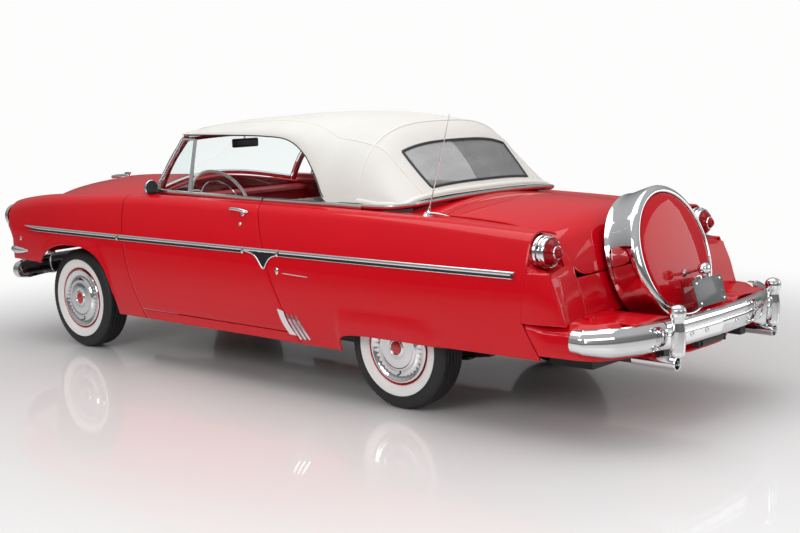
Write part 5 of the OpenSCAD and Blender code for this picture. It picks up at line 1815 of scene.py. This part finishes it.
    def exhaust(self) -> None:
        """Two bright tips with rolled mouths."""
        y = SHAPE.y(4.484)
        tip = turned("exhaust_left", [(.030, -.24), (.0315, -.22), (.0318, -.01), (.0325, -.004), (.0315, .0),
                                      (.0285, .0), (.0275, -.004),
                     (.0270, -.19), (.0, -.19), (.0, -.24), (.030, -.24)], (0.512, y, 0.398), (0, 1, 0), 48,
                     30)
        SHOP.place(tip, CHROME, "body", "exhaust")
        SHOP.place(smooth(mirrored(tip, "exhaust_right"), 30), CHROME, "body")
        pipe = rod("tail_pipe_left", [(0.512, y - .235, .398), (0.512, y - .6, .398), (0.505, y - .9, .40),
                                      (0.50, y - 1.12, .41)], 0.026)
        SideTrim.both(pipe, DARK)

    def build(self) -> None:
        """Build the rear end."""
        self.lamps()
        self.cover()
        self.plate()
        self.exhaust()


# --- Top, glass and cabin -------------------------------------------------------------------------


def keep_faces(piece: bpy.types.Object, test: Callable[[Array], Array]) -> bpy.types.Object:
    """Delete the faces whose middles fail a test.

    Args:
        piece: The mesh to cut.
        test: Says which middles to keep.

    Returns:
        The same piece.
    """
    middles = np.empty(len(piece.data.polygons) * 3)
    piece.data.polygons.foreach_get("center", middles)
    doomed = ~test(middles.reshape(-1, 3))
    activate(piece)
    bpy.ops.object.mode_set(mode="EDIT")
    bpy.ops.mesh.select_mode(type="FACE")
    bpy.ops.mesh.select_all(action="DESELECT")
    bpy.ops.object.mode_set(mode="OBJECT")
    piece.data.polygons.foreach_set("select", doomed)
    bpy.ops.object.mode_set(mode="EDIT")
    bpy.ops.mesh.delete(type="FACE")
    bpy.ops.object.mode_set(mode="OBJECT")
    return piece


@dataclass
class Top:
    """The raised fabric top with its bows, seams, binding and flexible rear window."""

    window_w: tuple[float, float] = (0.866, 0.974)
    window_t: tuple[float, float] = (0.300, 0.700)

    def at(self, w: Array, t: Array, lift: float = 0.0) -> Array:
        """A place on the top, lifted off it.

        Args:
            w: How far back, from 0 at the header to 1 at the foot.
            t: How far over, from 0 at the left edge to 1 at the right.
            lift: How far outwards.

        Returns:
            The places, one a row.
        """
        w, t = np.broadcast_arrays(np.asarray(w, float), np.asarray(t, float))
        e = 0.004
        p = SHAPE.roof_skin(w, t)
        a = SHAPE.roof_skin(np.minimum(w + e, 1), t) - SHAPE.roof_skin(np.maximum(w - e, 0), t)
        b = SHAPE.roof_skin(w, np.clip(t + e, 0.002, 0.998)) - SHAPE.roof_skin(w,
                                                                               np.clip(t - e, 0.002, 0.998))
        out = unit(np.cross(a, b))
        return p + out * np.asarray(lift)

    def sag(self, w: Array, t: Array) -> Array:
        """How the cloth dips between its bows and creases at its rear bow."""
        across = np.sin(math.pi * np.clip(t, 0, 1)) ** 1.5
        dip = 0.0
        for low, high, depth in ((0.0, 0.12, .002), (0.12, 0.38, .005), (0.38, 0.79, .004)):
            way = np.clip((w - low) / (high - low), 0, 1)
            dip = dip - depth * np.sin(math.pi * way) ** 2
        crease = 0.006 * np.exp(-(((w - 0.797) / 0.010) ** 2))
        folds = 0.0016 * np.sin(w * 46 + 9 * np.cos(math.pi * t)) * bump(np.abs(t - 0.5), 0.22,
                                                                         0.40) * bump(w, 0.5, 0.66)
        return (dip + crease) * across + folds

    def build_cloth(self) -> None:
        """The one sheet from the header to the foot behind the cabin."""
        def skin(u: Array, v: Array) -> Array:
            w, t = u, 0.0015 + 0.997 * v
            return self.at(w, t, (self.sag(w, t))[:, None])

        piece = sheet_of("top_cloth", skin, 124, 112)
        uv = np.empty(len(piece.data.loops) * 2)
        piece.data.uv_layers.active.data.foreach_get("uv", uv)
        uv = uv.reshape(-1, 2)
        starts = np.array([face.loop_start for face in piece.data.polygons])
        middle = sum(uv[starts + k] for k in range(4)) / 4
        inside = ((middle[:, 0] > self.window_w[0]) & (middle[:, 0] < self.window_w[1])
                  & (middle[:, 1] > self.window_t[0]) & (middle[:, 1] < self.window_t[1]))
        keep_faces(piece, lambda c: ~inside)
        finish_with(piece, "SOLIDIFY", thickness=0.003, offset=-1.0)
        smooth(piece, 50)
        SHOP.place(piece, VINYL, "body", "convertible_top")
        self.build_bows()
        fittings = self.build_seams()

    def build_bows(self) -> None:
        """The bows that carry the cloth."""
        bows = []
        for w in (0.02, 0.14, 0.38, 0.60, 0.785):
            rows = [tuple(self.at(np.array([w]), np.array([t]), -0.013)[0]) for t in np.linspace(0.03, 0.97,
                                                                                                 15)]
            bows.append(rod("bow", rows, 0.008, 40, 10))
        SHOP.place(join("top_bows", bows), LINING, "body")

    def bead(self, name: str, rows: Sequence[tuple[float, float]], radius: float, lift: float,
             finish: Finish) -> bpy.types.Object:
        """A seam or binding that follows the cloth.

        Args:
            name: Its name.
            rows: Places on the top that it passes, as (w, t).
            radius: Half of its width.
            lift: How far its middle stands off the cloth.
            finish: Its surface.

        Returns:
            The dressed bead.
        """
        line = resample(rows, False)

        def path(t: Array) -> Array:
            q = line(t)
            return self.at(q[:, 0], q[:, 1], (lift + self.sag(q[:, 0], q[:, 1]))[:, None])

        def facing(t: Array) -> Array:
            q = line(t)
            return unit(self.at(q[:, 0], q[:, 1], 0.01) - self.at(q[:, 0], q[:, 1]))

        flat = [(radius * 0.5 * math.cos(a), radius * math.sin(a)) for a in np.linspace(0, 2 * math.pi, 10,
                                                                                        endpoint=False)]
        return SHOP.place(sweep(name, path, flat, facing, 140, degrees=60), finish, "body")

    def build_seams(self) -> list[bpy.types.Object]:
        """Welted seams along the roof, down the back, and the bound edges."""
        pieces = []
        for label, flip in (("left", False), ("right", True)):
            s = (lambda t: 1 - t) if flip else (lambda t: t)
            pieces.append(self.bead(f"top_seam_{label}", [(.0, s(.235)), (.4, s(.225)), (.79, s(.215))],
                                    .0045, .0012, BINDING))
            pieces.append(self.bead(f"top_back_seam_{label}",
                                    [(.797, s(.215)), (.86, s(.235)), (.93, s(.24)), (1.0, s(.235))], .0045,
                                    .0012, BINDING))
            pieces.append(self.bead(f"top_edge_{label}",
                                    [(.005, s(.004)), (.3, s(.004)), (.5, s(.004)), (.63, s(.004))], .0035,
                                    .0015, BLACK))
            pieces.append(self.bead(f"top_drip_{label}",
                                    [(.03, s(.0045)), (.3, s(.0045)), (.5, s(.0045)), (.62, s(.0045))], .0035,
                                    -.006, BLACK))
        pieces.append(self.bead("top_bow_welt", [(.797, .04), (.797, .5), (.797, .96)], .006, .001, BINDING))
        pieces.append(self.bead("top_foot", [(.80, .004), (.90, .004), (.992, .02), (.992, .25), (.992, .5),
                                             (.992, .75), (.992, .98), (.90, .996), (.80, .996)], .013, .0025,
                                             BINDING))
        pieces.append(self.bead("top_header", [(.004, .01), (.004, .5), (.004, .99)], .011, .002, BINDING))
        (a, b), (c, d) = self.window_w, self.window_t
        pieces.append(self.bead("window_binding",
                                [(a, c), (a, .5), (a, d), ((a + b) / 2, d), (b, d), (b, .5), (b, c),
                                 ((a + b) / 2, c), (a, c)], .009, .0015, BLACK))
        return pieces

    def build_window(self) -> None:
        """The flexible clear sheet sewn into the back, a little rippled."""
        (a, b), (c, d) = self.window_w, self.window_t

        def pane(u: Array, t: Array) -> Array:
            w, s = a - .004 + (b - a + .008) * u, c - .004 + (d - c + .008) * t
            inside = np.sin(math.pi * u) * np.sin(math.pi * t)
            ripple = inside * (0.0028 * np.sin(9 * t + 3 * u) + 0.0018 * np.sin(17 * u + 5 * t) + 0.0012 * np.sin(31 * t - 8 * u))
            return self.at(w, s, (ripple - 0.002)[:, None])

        piece = sheet_of("rear_window_pane", pane, 60, 70)
        finish_with(piece, "SOLIDIFY", thickness=0.0012, offset=-1.0)
        SHOP.place(smooth(piece, 60), FILM, "body", "rear_window")

    def build(self) -> None:
        """Build the top."""
        self.build_cloth()
        self.build_window()


@dataclass
class Glasshouse:
    """The windshield and its surround, the quarter lights, and both mirrors."""

    def line(self, rows: Sequence[tuple[float, float]]) -> Callable[[Array], Array]:
        """A path on the windshield's surface."""
        q = resample(rows, False)
        return lambda t: SHAPE.glass(q(t)[:, 0], q(t)[:, 1])

    def build(self) -> None:
        """Build the glass and the mirrors."""
        section = [(-.012, -.014), (.006, -.016), (.013, -.008), (.015, .004), (.008, .014), (-.012, .014)]
        bars = []
        for label, rows in (("a", [(.012, 0), (.012, 1)]), ("b", [(.988, 0), (.988, 1)]),
                            ("c", [(0, .965), (.5, .965), (1, .965)]),
                            ("d", [(0, .03), (.5, .03), (1, .03)])):
            bars.append(sweep(f"surround_{label}", self.line(rows), section,
                              lambda v: np.tile([0.0, -0.86, 0.5], (len(v), 1)), 80, degrees=45))
        SHOP.place(join("windshield_surround", bars), CHROME, "body", "windshield_frame")
        pane = sheet_of("windshield_pane", lambda u, t: SHAPE.glass(.014 + .972 * u, .035 + .925 * t), 60, 24)
        finish_with(pane, "SOLIDIFY", thickness=0.005, offset=0)
        SHOP.place(smooth(pane), GLASS, "body", "windshield_glass")
        posts = []
        for u in (0.012, 0.988):
            posts.append(sweep("post", lambda t,
                               u=u: SHAPE.glass(np.full_like(t, u), t) + np.array([0, .022, -.004]),
                               [(-.010, -.012), (.010, -.012), (.010, .012), (-.010, .012)],
                               lambda v: np.tile([0.0, -0.86, 0.5], (len(v), 1)), 40))
        SHOP.place(join("windshield_posts", posts), RED_HIDE, "body")
        self.vents()
        self.mirrors()

    def vents(self) -> None:
        """The quarter lights in front of the door glass."""
        plane = lambda d, z: (0.712 - 0.24 * (z - 1.096), float(SHAPE.y(d)), z)
        low, high = 1.108, 1.436
        corners = [(.775, low), (.985, high), (1.118, high), (1.132, low)]
        bars = [rod("bar", [plane(*corners[0]), plane(*corners[1])], .0085, 8, 12),
                rod("bar", [plane(*corners[1]), plane(*corners[2])], .007, 6, 12),
                rod("bar", [plane(*corners[3]), plane(*corners[2])], .016, 8, 4),
                rod("bar", [plane(*corners[0]), plane(*corners[3])], .007, 8, 12),
                rod("bar", [plane(.815, low + .012), plane(.998, high - .016)], .0045, 8, 10)]
        SideTrim.both(join("vent_frame_left", bars), CHROME, "door_left")
        for side in Side:
            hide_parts(f"vent_window_{side.word}")

        def pane(u: Array, t: Array) -> Array:
            z = low + (high - low) * t
            d0, d1 = .79 + (.99 - .79) * t, 1.128 - .014 * t
            return np.column_stack([0.712 - 0.24 * (z - 1.096), SHAPE.y(d0 + (d1 - d0) * u), z])

        piece = sheet_of("vent_pane_left", pane, 8, 8)
        finish_with(piece, "SOLIDIFY", thickness=0.004, offset=0)
        SideTrim.both(piece, GLASS, "door_left")

    def mirrors(self) -> None:
        """A round outside mirror on the driver's door, and the one under the header."""
        y = float(SHAPE.y(0.822))
        head = turned("mirror_head", [(0, -.034), (.018, -.031), (.036, -.023), (.048, -.010), (.0525, .004),
                                      (.0525, .010), (.0500, .012)],
                      (0.775, y, 1.130), (-0.12, 0.98, 0.05), 48, 50)
        glass = turned("mirror_face", [(.0490, .0150), (0, .0155), (0, .008), (.049, .008)],
                       (0.775, y, 1.130), (-0.12, 0.98, 0.05), 48)
        stem = rod("mirror_stem", [(0.775, y - .01, 1.10), (0.775, y + .012, 1.078), (0.772, y + .03, 1.062)],
                   .008, 16, 12, taper=(.8, 1.4))
        foot = turned("mirror_foot", [(.034, -.012), (.034, -.002), (.026, .006), (.012, .010), (0, .011)],
                      (0.772, y + .032, 1.060), (.25, 0, .97), 36)
        SHOP.place(join("outside_mirror", [head, stem, foot]), CHROME, "door_left")
        SHOP.place(glass, BLACK, "door_left")
        inside = block("inside_mirror", (-0.115, float(SHAPE.y(0.862)), 1.352),
                       (0.115, float(SHAPE.y(0.884)), 1.412), 0.012, 4)
        SHOP.place(inside, BLACK, "body")
        SHOP.place(rod("inside_mirror_arm", [(0, SHAPE.y(.872), 1.40), (0, SHAPE.y(.86), 1.44)], .007, 6, 10),
                   CHROME, "body")


@dataclass
class Cabin:
    """Seats, dash, steering wheel and trim."""

    def inflate(self, piece: bpy.types.Object, voxel: float, cap: float) -> bpy.types.Object:
        """Let a cushion's cover swell under pressure, with its movement capped.

        Args:
            piece: The firm shape.
            voxel: Size of the remeshed cells.
            cap: Furthest that a point may move.

        Returns:
            The same piece, softened.
        """
        finish_with(piece, "REMESH", mode="VOXEL", voxel_size=voxel)
        before = coordinates(piece)
        activate(piece)
        cloth = piece.modifiers.new("Cloth", "CLOTH")
        cloth.settings.use_pressure = True
        cloth.settings.uniform_pressure_force = 4.0
        cloth.settings.effector_weights.gravity = 0.0
        cloth.settings.quality = 4
        cloth.collision_settings.use_collision = False
        cloth.point_cache.frame_end = 20
        for number in range(1, 21):
            bpy.context.scene.frame_set(number)
        bpy.ops.object.modifier_apply(modifier=cloth.name)
        bpy.context.scene.frame_set(1)
        moved = coordinates(piece) - before
        length = np.linalg.norm(moved, axis=1, keepdims=True)
        set_coordinates(piece, before + moved * np.minimum(1, cap / np.maximum(length, 1e-9)))
        return smooth(piece, 60)

    def cushion(self, name: str, low: Point, high: Point, lean: float, pivot: Point, node: str) -> None:
        """One seat cushion, pleated over its middle.

        Args:
            name: Its name.
            low: Lowest corner before it leans.
            high: Highest corner.
            lean: How far it leans back, in degrees.
            pivot: What it leans about.
            node: The frame's solid that it stands for, or "".
        """
        piece = block(name, low, high, 0.045, 5)
        self.inflate(piece, 0.019, 0.024)
        finish_with(piece, "SUBSURF", levels=1, render_levels=1)
        points = coordinates(piece)
        x = points[:, 0]
        half = (high[0] - low[0]) / 2
        middle = 1 - bump(np.abs(x), half * 0.84, half * 0.88)
        pleat = 0.005 * (np.abs(np.sin(x * math.pi / 0.062)) ** 0.5 - 1) * middle
        seam = -0.008 * np.exp(-(((np.abs(x) - half * 0.86) / 0.006) ** 2)) - 0.010 * np.exp(-((x / 0.007) ** 2))
        normals = np.empty(len(points) * 3)
        piece.data.vertices.foreach_get("normal", normals)
        points = points + normals.reshape(-1, 3) * (pleat + seam)[:, None]
        a = math.radians(lean)
        rel = points - np.array(pivot)
        points = np.column_stack([points[:, 0], pivot[1] + rel[:, 1] * math.cos(a) + rel[:, 2] * math.sin(a),
                                  pivot[2] + rel[:, 2] * math.cos(a) - rel[:, 1] * math.sin(a)])
        set_coordinates(piece, points)
        piece.data.materials.append(WHITE_LEATHER.material())
        dress_where(piece, GREY_CLOTH, lambda c: np.abs(c[:, 0]) < half * 0.5)
        SHOP.place(smooth(piece, 60), WHITE_LEATHER, "body", *([node] if node else []))

    def build(self) -> None:
        """Build the cabin."""
        y = lambda d: float(SHAPE.y(d))
        self.cushion("front_cushion", (-.645, y(1.24), .50), (.645, y(1.685), .655), 0, (0, y(1.4), .5),
                     "front_seat")
        self.cushion("front_back", (-.645, y(1.715), .50), (.645, y(1.815), 1.105), 6, (0, y(1.708), .492),
                     "")
        self.cushion("rear_cushion", (-.56, y(2.02), .48), (.56, y(2.43), .635), 0, (0, y(2.2), .5),
                     "rear_seat")
        self.cushion("rear_back", (-.56, y(2.49), .645), (.56, y(2.60), 1.0), 12, (0, y(2.49), .636), "")
        self.dash()
        self.wheel()
        for side in Side:
            s = side.value
            def wall(u: Array, t: Array, s: float = s) -> Array:
                d, z = 1.93 + 0.86 * u, 0.62 + 0.46 * t
                return np.column_stack([s * (0.70 + 0.02 * t + 0 * u), SHAPE.y(d), z])
            piece = sheet_of(f"quarter_trim_{side.word}", wall, 16, 12, side is Side.LEFT)
            finish_with(piece, "SOLIDIFY", thickness=0.004)
            SHOP.place(smooth(piece), RED_HIDE, "body")
        shelf = block("rear_shelf", (-.66, y(2.68), 1.02), (.66, y(2.95), 1.032), .004)
        SHOP.place(shelf, RED_HIDE, "body")

    def dash(self) -> None:
        """The dash in red hide, with its dial and knobs."""
        rows = [(.70, .860), (.748, .852), (.790, .880), (.802, .918), (.790, .962), (.785, 1.0),
                (.792, 1.022), (.785, 1.040),
                (.755, 1.052), (.71, 1.056), (.655, 1.050), (.655, .90)]
        dash_d, dash_z = .70, .95
        profile = [(d - dash_d, z - dash_z) for d, z in rows]
        path = lambda t: np.column_stack([-.655 + 1.31 * t, SHAPE.y(dash_d + 0 * t), dash_z + 0 * t])
        piece = sweep("dash_look", path, profile, lambda v: np.tile([0.0, 1.0, 0.0], (len(v), 1)), 40,
                      degrees=40)
        SHOP.place(piece, RED_HIDE, "body", "dashboard")
        y = float(SHAPE.y(.775))
        dial = turned("dial", [(0, .0), (.085, .0), (.092, .012), (.098, .030), (.090, .034), (.082, .026),
                               (.0, .022)],
                      (.372, y, .985), (0, .94, .34), 64)
        SHOP.place(dial, SATIN, "body")
        knobs = [turned("knob", [(0, 0), (.006, 0), (.006, .014), (.013, .018), (.014, .028), (.010, .034),
                                 (0, .035)],
                        (x, float(SHAPE.y(.795)), .935), (0, 1, -.1), 20) for x in (-.12, -.04, .04, .12,
                                                                                    .20)]
        knobs.append(block("radio", (-.16, float(SHAPE.y(.786)), .952), (.20, float(SHAPE.y(.812)), .992),
                           .006))
        SHOP.place(join("dash_brightwork", knobs), CHROME, "body")

    def wheel(self) -> None:
        """The white steering wheel and its bright horn ring."""
        lean = math.radians(30)
        axis = (0.0, math.cos(lean), math.sin(lean))
        place = (.372, float(SHAPE.y(1.004)), 1.0)
        ring = [(.226 + .0112 * math.cos(a), .034 + .0112 * math.sin(a)) for a in np.linspace(0, 2 * math.pi,
                                                                                              17)]
        rim = turned("rim", ring, place, axis, 96, 60)
        hub = turned("hub", [(0, -.03), (.034, -.03), (.038, -.01), (.034, .018), (.022, .026), (0, .028)],
                     place, axis, 40)
        spokes = [rod("spoke", [(.372 + s * .03, place[1], 1.0), (.372 + s * .12, place[1] + .012, 1.006),
                                (.372 + s * .219, place[1] + .028, 1.017)], .009, 20, 12) for s in (-1, 1)]
        SHOP.place(join("steering_wheel_look", [rim, hub, *spokes]), WHITE_RIM, "steering_wheel",
                   "steering_wheel")
        horn = [(.150 + .0045 * math.cos(a), .036 + .0045 * math.sin(a)) for a in np.linspace(0, 2 * math.pi,
                                                                                              11)]
        ring = turned("horn", horn, place, axis, 72, 60)
        arms = [rod("arm", [(.372 + s * .02, place[1] + .02, 1.014),
                            (.372 + s * .148, place[1] + .031, 1.018)], .0045, 8, 10) for s in (-1, 1)]
        cap = turned("cap", [(.024, .026), (.022, .034), (.012, .038), (0, .039)], place, axis, 32)
        SHOP.place(join("horn_ring", [ring, cap, *arms]), CHROME, "steering_wheel")


@dataclass
class FrontEnd:
    """Headlamps, grille, parking lamp caps, bonnet ornament and antenna."""

    def build(self) -> None:
        """Build the front end."""
        y = float(SHAPE.y(-.793))
        bezel = turned("headlamp_bezel_left", [(.070, .0), (.084, .0), (.0845, .024), (.082, .036),
                                               (.076, .042), (.070, .040), (.068, .020), (.070, .0)],
                       (.754, y, .872), (0, -1, 0), 64)
        SHOP.place(bezel, CHROME, "body", "headlamps")
        SHOP.place(smooth(mirrored(bezel, "headlamp_bezel_right")), CHROME, "body")
        lens = turned("headlamp_lens_left", [(0, .0), (.069, .0), (.069, .014), (.060, .022), (.040, .030),
                                             (.018, .034), (0, .035)], (.754, y, .872), (0, -1, 0), 48)
        SideTrim.both(lens, CLEAR_LENS)
        bars = [rod("bar", [(-.39, SHAPE.y(-.735), z), (-.2, SHAPE.y(-.758), z), (0, SHAPE.y(-.765), z),
                            (.2, SHAPE.y(-.758), z), (.39, SHAPE.y(-.735), z)],
                    r, 30, 14) for z, r in ((.655, .010), (.735, .022), (.815, .010))]
        bullet = turned("bullet", [(0, -.02), (.055, -.02), (.070, .0), (.066, .03), (.045, .055),
                                   (.02, .066), (0, .068)], (0, SHAPE.y(-.755), .735), (0, -1, 0), 48)
        SHOP.place(join("grille_look", [*bars, bullet]), CHROME, "body", "grille")
        mesh = block("grille_back", (-.42, float(SHAPE.y(-.71)), .60), (.42, float(SHAPE.y(-.70)), .90), .004)
        SHOP.place(mesh, BLACK, "body")
        rows = [tuple(SHAPE.side(np.array([d]), np.array([z]), l)[0]) for d, z, l in
                ((-.675, .655, .004), (-.62, .655, .016), (-.55, .654, .018), (-.49, .652, .010),
                 (-.455, .651, -.002))]
        cap = sweep("park_lamp_left", resample(rows), SideTrim.bead(.024, 20, .9),
                    lambda v: np.tile([1.0, 0, 0], (len(v), 1)), 40,
                    scale=lambda v: np.interp(v, [0, .15, .45, .8, 1], [.3, .85, 1.15, .8, .2]), degrees=60)
        SideTrim.both(cap, CHROME)
        yo = lambda d: float(SHAPE.y(d))
        body = rod("jet", [(0, yo(-.66), 1.104), (0, yo(-.60), 1.112), (0, yo(-.52), 1.118),
                           (0, yo(-.45), 1.122)], .013, 30, 16)
        fin = block("jet_fin", (-.003, yo(-.52), 1.118), (.003, yo(-.445), 1.146), .002)
        points = coordinates(fin)
        points[:, 1] += (points[:, 2] - 1.118) * 0.9
        set_coordinates(fin, points)
        wings = block("jet_wings", (-.055, yo(-.575), 1.110), (.055, yo(-.515), 1.116), .0025)
        points = coordinates(wings)
        points[:, 1] += np.abs(points[:, 0]) * 0.7
        set_coordinates(wings, points)
        foot = block("jet_foot", (-.008, yo(-.60), 1.085), (.008, yo(-.47), 1.112), .004)
        SHOP.place(join("bonnet_ornament", [body, fin, wings, foot]), CHROME, "hood")
        mast = rod("antenna_mast", [(.72, yo(3.115), 1.07), (.72, yo(3.20), 1.34), (.72, yo(3.275), 1.595)],
                   .0032, 30, 10, taper=(1.2, .6))
        base = turned("antenna_base", [(.030, -.02), (.030, .0), (.024, .008), (.014, .018), (.009, .034),
                                       (.006, .05), (0, .052)],
                      (.72, yo(3.115), 1.058), (0, .25, .97), 32)
        spear = rod("antenna_spear", [(.722, yo(3.10), 1.068), (.722, yo(3.17), 1.074),
                                      (.722, yo(3.26), 1.066)], .009, 20, 12, taper=(1.3, .2))
        SHOP.place(join("antenna", [mast, base, spear]), CHROME, "body")


# --- Frame solids that are shown as they are ------------------------------------------------------


@dataclass(frozen=True)
class CarriedOver:
    """Finishes for the frame's solids that stay in sight or under the car."""

    finishes: tuple[tuple[Finish, tuple[str, ...]], ...] = (
        (DARK, ("chassis_frame", "engine_block", "rear_axle", "leaf_springs", "fuel_tank",
                "control_arms", "carrier_hinge", "spare_arm", "knuckle_left", "knuckle_right",
                "steering_column")),
        (CARPET, ("floor_pan",)),
    )

    def build(self) -> None:
        """Give each solid that no piece stands for its own finish."""
        for finish, names in self.finishes:
            for name in names:
                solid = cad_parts[name]
                solid.data.materials.clear()
                solid.data.materials.append(finish.material())
                LOG.info("%s: carried over in %s", name, finish.name)


# --- Stage ------------------------------------------------------------------------------------


@dataclass(frozen=True)
class Studio:
    """The pale floor, the white surround, the lights and the camera."""

    eye: Point = (5.8742, 5.7297, 1.7621)
    azimuth: float = -138.077
    elevation: float = -8.119
    roll: float = -1.442
    lens: float = 58.10

    @staticmethod
    def seen_straight(nodes: bpy.types.Nodes, links: bpy.types.NodeLinks) -> bpy.types.NodeSocket:
        """One for what the camera sees directly or through glass, nought for light and reflections."""
        path, either = nodes.new("ShaderNodeLightPath"), nodes.new("ShaderNodeMath")
        either.operation = "MAXIMUM"
        links.new(path.outputs["Is Camera Ray"], either.inputs[0])
        links.new(path.outputs["Is Transmission Ray"], either.inputs[1])
        return either.outputs[0]

    def floor(self) -> None:
        """A wide flat glossy floor, plain glowing white away from the car as seen directly or through glass."""
        def sweep_floor(u: Array, v: Array) -> Array:
            x, y = (u - 0.5) * 80, (v - 0.5) * 80
            return np.column_stack([x, y, np.full_like(x, -0.001)])

        piece = sheet_of("studio_floor", sweep_floor, 8, 8)
        made = bpy.data.materials.new("studio_floor")
        made.use_nodes = True
        nodes, links = made.node_tree.nodes, made.node_tree.links
        shader = nodes["Principled BSDF"]
        shader.inputs["Base Color"].default_value = (0.80, 0.785, 0.78, 1)
        shader.inputs["Coat Weight"].default_value = 0.5
        shader.inputs["Coat Roughness"].default_value = 0.03
        place = nodes.new("ShaderNodeTexCoord")
        noise = nodes.new("ShaderNodeTexNoise")
        noise.inputs["Scale"].default_value = 0.6
        rough = nodes.new("ShaderNodeMapRange")
        rough.inputs["To Min"].default_value = 0.25
        rough.inputs["To Max"].default_value = 0.4
        links.new(place.outputs["Object"], noise.inputs["Vector"])
        links.new(noise.outputs["Fac"], rough.inputs["Value"])
        links.new(rough.outputs["Result"], shader.inputs["Roughness"])
        away, fade, both = (nodes.new("ShaderNodeVectorMath"), nodes.new("ShaderNodeMapRange"),
                            nodes.new("ShaderNodeMath"))
        away.operation, both.operation, fade.interpolation_type = "LENGTH", "MULTIPLY", "SMOOTHSTEP"
        links.new(place.outputs["Object"], away.inputs[0])
        fade.inputs["From Min"].default_value = 2.0
        fade.inputs["From Max"].default_value = 5.2
        links.new(away.outputs["Value"], fade.inputs["Value"])
        links.new(fade.outputs["Result"], both.inputs[0])
        links.new(self.seen_straight(nodes, links), both.inputs[1])
        glow, mix = nodes.new("ShaderNodeEmission"), nodes.new("ShaderNodeMixShader")
        glow.inputs["Color"].default_value = (0.985, 0.982, 0.98, 1)
        links.new(both.outputs[0], mix.inputs["Fac"])
        links.new(shader.outputs[0], mix.inputs[1])
        links.new(glow.outputs[0], mix.inputs[2])
        links.new(mix.outputs[0], nodes["Material Output"].inputs["Surface"])
        piece.data.materials.append(made)

    def surround(self) -> None:
        """A white background, softer where it lights the car."""
        world = bpy.data.worlds.new("white_surround")
        bpy.context.scene.world = world
        world.use_nodes = True
        nodes, links = world.node_tree.nodes, world.node_tree.links
        nodes.clear()
        out = nodes.new("ShaderNodeOutputWorld")
        seen, lit, mix = nodes.new("ShaderNodeBackground"), nodes.new("ShaderNodeBackground"), nodes.new("ShaderNodeMixShader")
        seen.inputs["Color"].default_value = (0.985, 0.982, 0.98, 1)
        seen.inputs["Strength"].default_value = 1.0
        place = nodes.new("ShaderNodeTexCoord")
        split = nodes.new("ShaderNodeSeparateXYZ")
        ramp = nodes.new("ShaderNodeValToRGB")
        links.new(place.outputs["Generated"], split.inputs[0])
        links.new(split.outputs["Z"], ramp.inputs["Fac"])
        ramp.color_ramp.elements[0].position = 0.0
        ramp.color_ramp.elements[0].color = (0.22, 0.215, 0.21, 1)
        ramp.color_ramp.elements[1].position = 0.6
        ramp.color_ramp.elements[1].color = (0.95, 0.95, 0.96, 1)
        links.new(ramp.outputs["Color"], lit.inputs["Color"])
        lit.inputs["Strength"].default_value = 0.55
        links.new(self.seen_straight(nodes, links), mix.inputs["Fac"])
        links.new(lit.outputs[0], mix.inputs[1])
        links.new(seen.outputs[0], mix.inputs[2])
        links.new(mix.outputs[0], out.inputs["Surface"])

    def lamp(self, name: str, place: Point, aim: Point, size: tuple[float, float], watts: float) -> None:
        """Hang one soft box.

        Args:
            name: Its name.
            place: Where it hangs.
            aim: The point that it faces.
            size: Its two sides.
            watts: Its power.
        """
        deselect()
        bpy.ops.object.light_add(type="AREA", location=place)
        lamp = bpy.context.object
        lamp.name = name
        lamp.data.shape = "RECTANGLE"
        lamp.data.size, lamp.data.size_y = size
        lamp.data.energy = watts
        lamp.rotation_euler = (Vector(aim) - Vector(place)).to_track_quat("-Z", "Y").to_euler()

    def camera(self) -> None:
        """Set the three-quarter rear camera."""
        az, el, roll = (math.radians(a) for a in (self.azimuth, self.elevation, self.roll))
        ahead = Vector((math.cos(az) * math.cos(el), math.sin(az) * math.cos(el), math.sin(el)))
        right = ahead.cross(Vector((0, 0, 1))).normalized()
        up = right.cross(ahead)
        across = right * math.cos(roll) + up * math.sin(roll)
        above = right * -math.sin(roll) + up * math.cos(roll)
        deselect()
        bpy.ops.object.camera_add(location=self.eye)
        camera = bpy.context.object
        camera.rotation_euler = Matrix((across, above, -ahead)).transposed().to_euler()
        camera.data.sensor_width = 36.0
        camera.data.lens = self.lens
        camera.data.clip_end = 200
        bpy.context.scene.camera = camera

    def build(self) -> None:
        """Set up the whole studio."""
        self.floor()
        self.surround()
        self.lamp("overhead_box", (0.5, 0.5, 5.2), (0, 0, 0), (7.0, 4.5), 190)
        self.lamp("side_box", (6.5, 1.0, 3.6), (0.5, 0.2, 0.5), (4.5, 2.0), 135)
        self.lamp("rear_box", (2.5, 7.5, 3.0), (0, 1.5, 0.6), (3.5, 2.0), 62)
        self.lamp("far_box", (-6.0, 7.2, 2.4), (0, 2.0, 0.8), (5.0, 2.6), 80)
        self.camera()
        bpy.context.scene.view_settings.view_transform = "Standard"


# --- Assembly -----------------------------------------------------------------------------------


PARTS: list[object] = [Panels(), Wheels(), SideTrim(), Bumper(),
                       Bumper("front", -0.839, -1.0, 0.428, guard_x=0.44), RearEnd(), Top(), Glasshouse(),
                       Cabin(), FrontEnd(), CarriedOver()]


def main() -> None:
    """Build the car's classes in order and report each piece."""
    for part in PARTS:
        LOG.info("building %s", type(part).__name__)
        part.build()
    Studio().build()


if __name__ == "__main__":
    main()
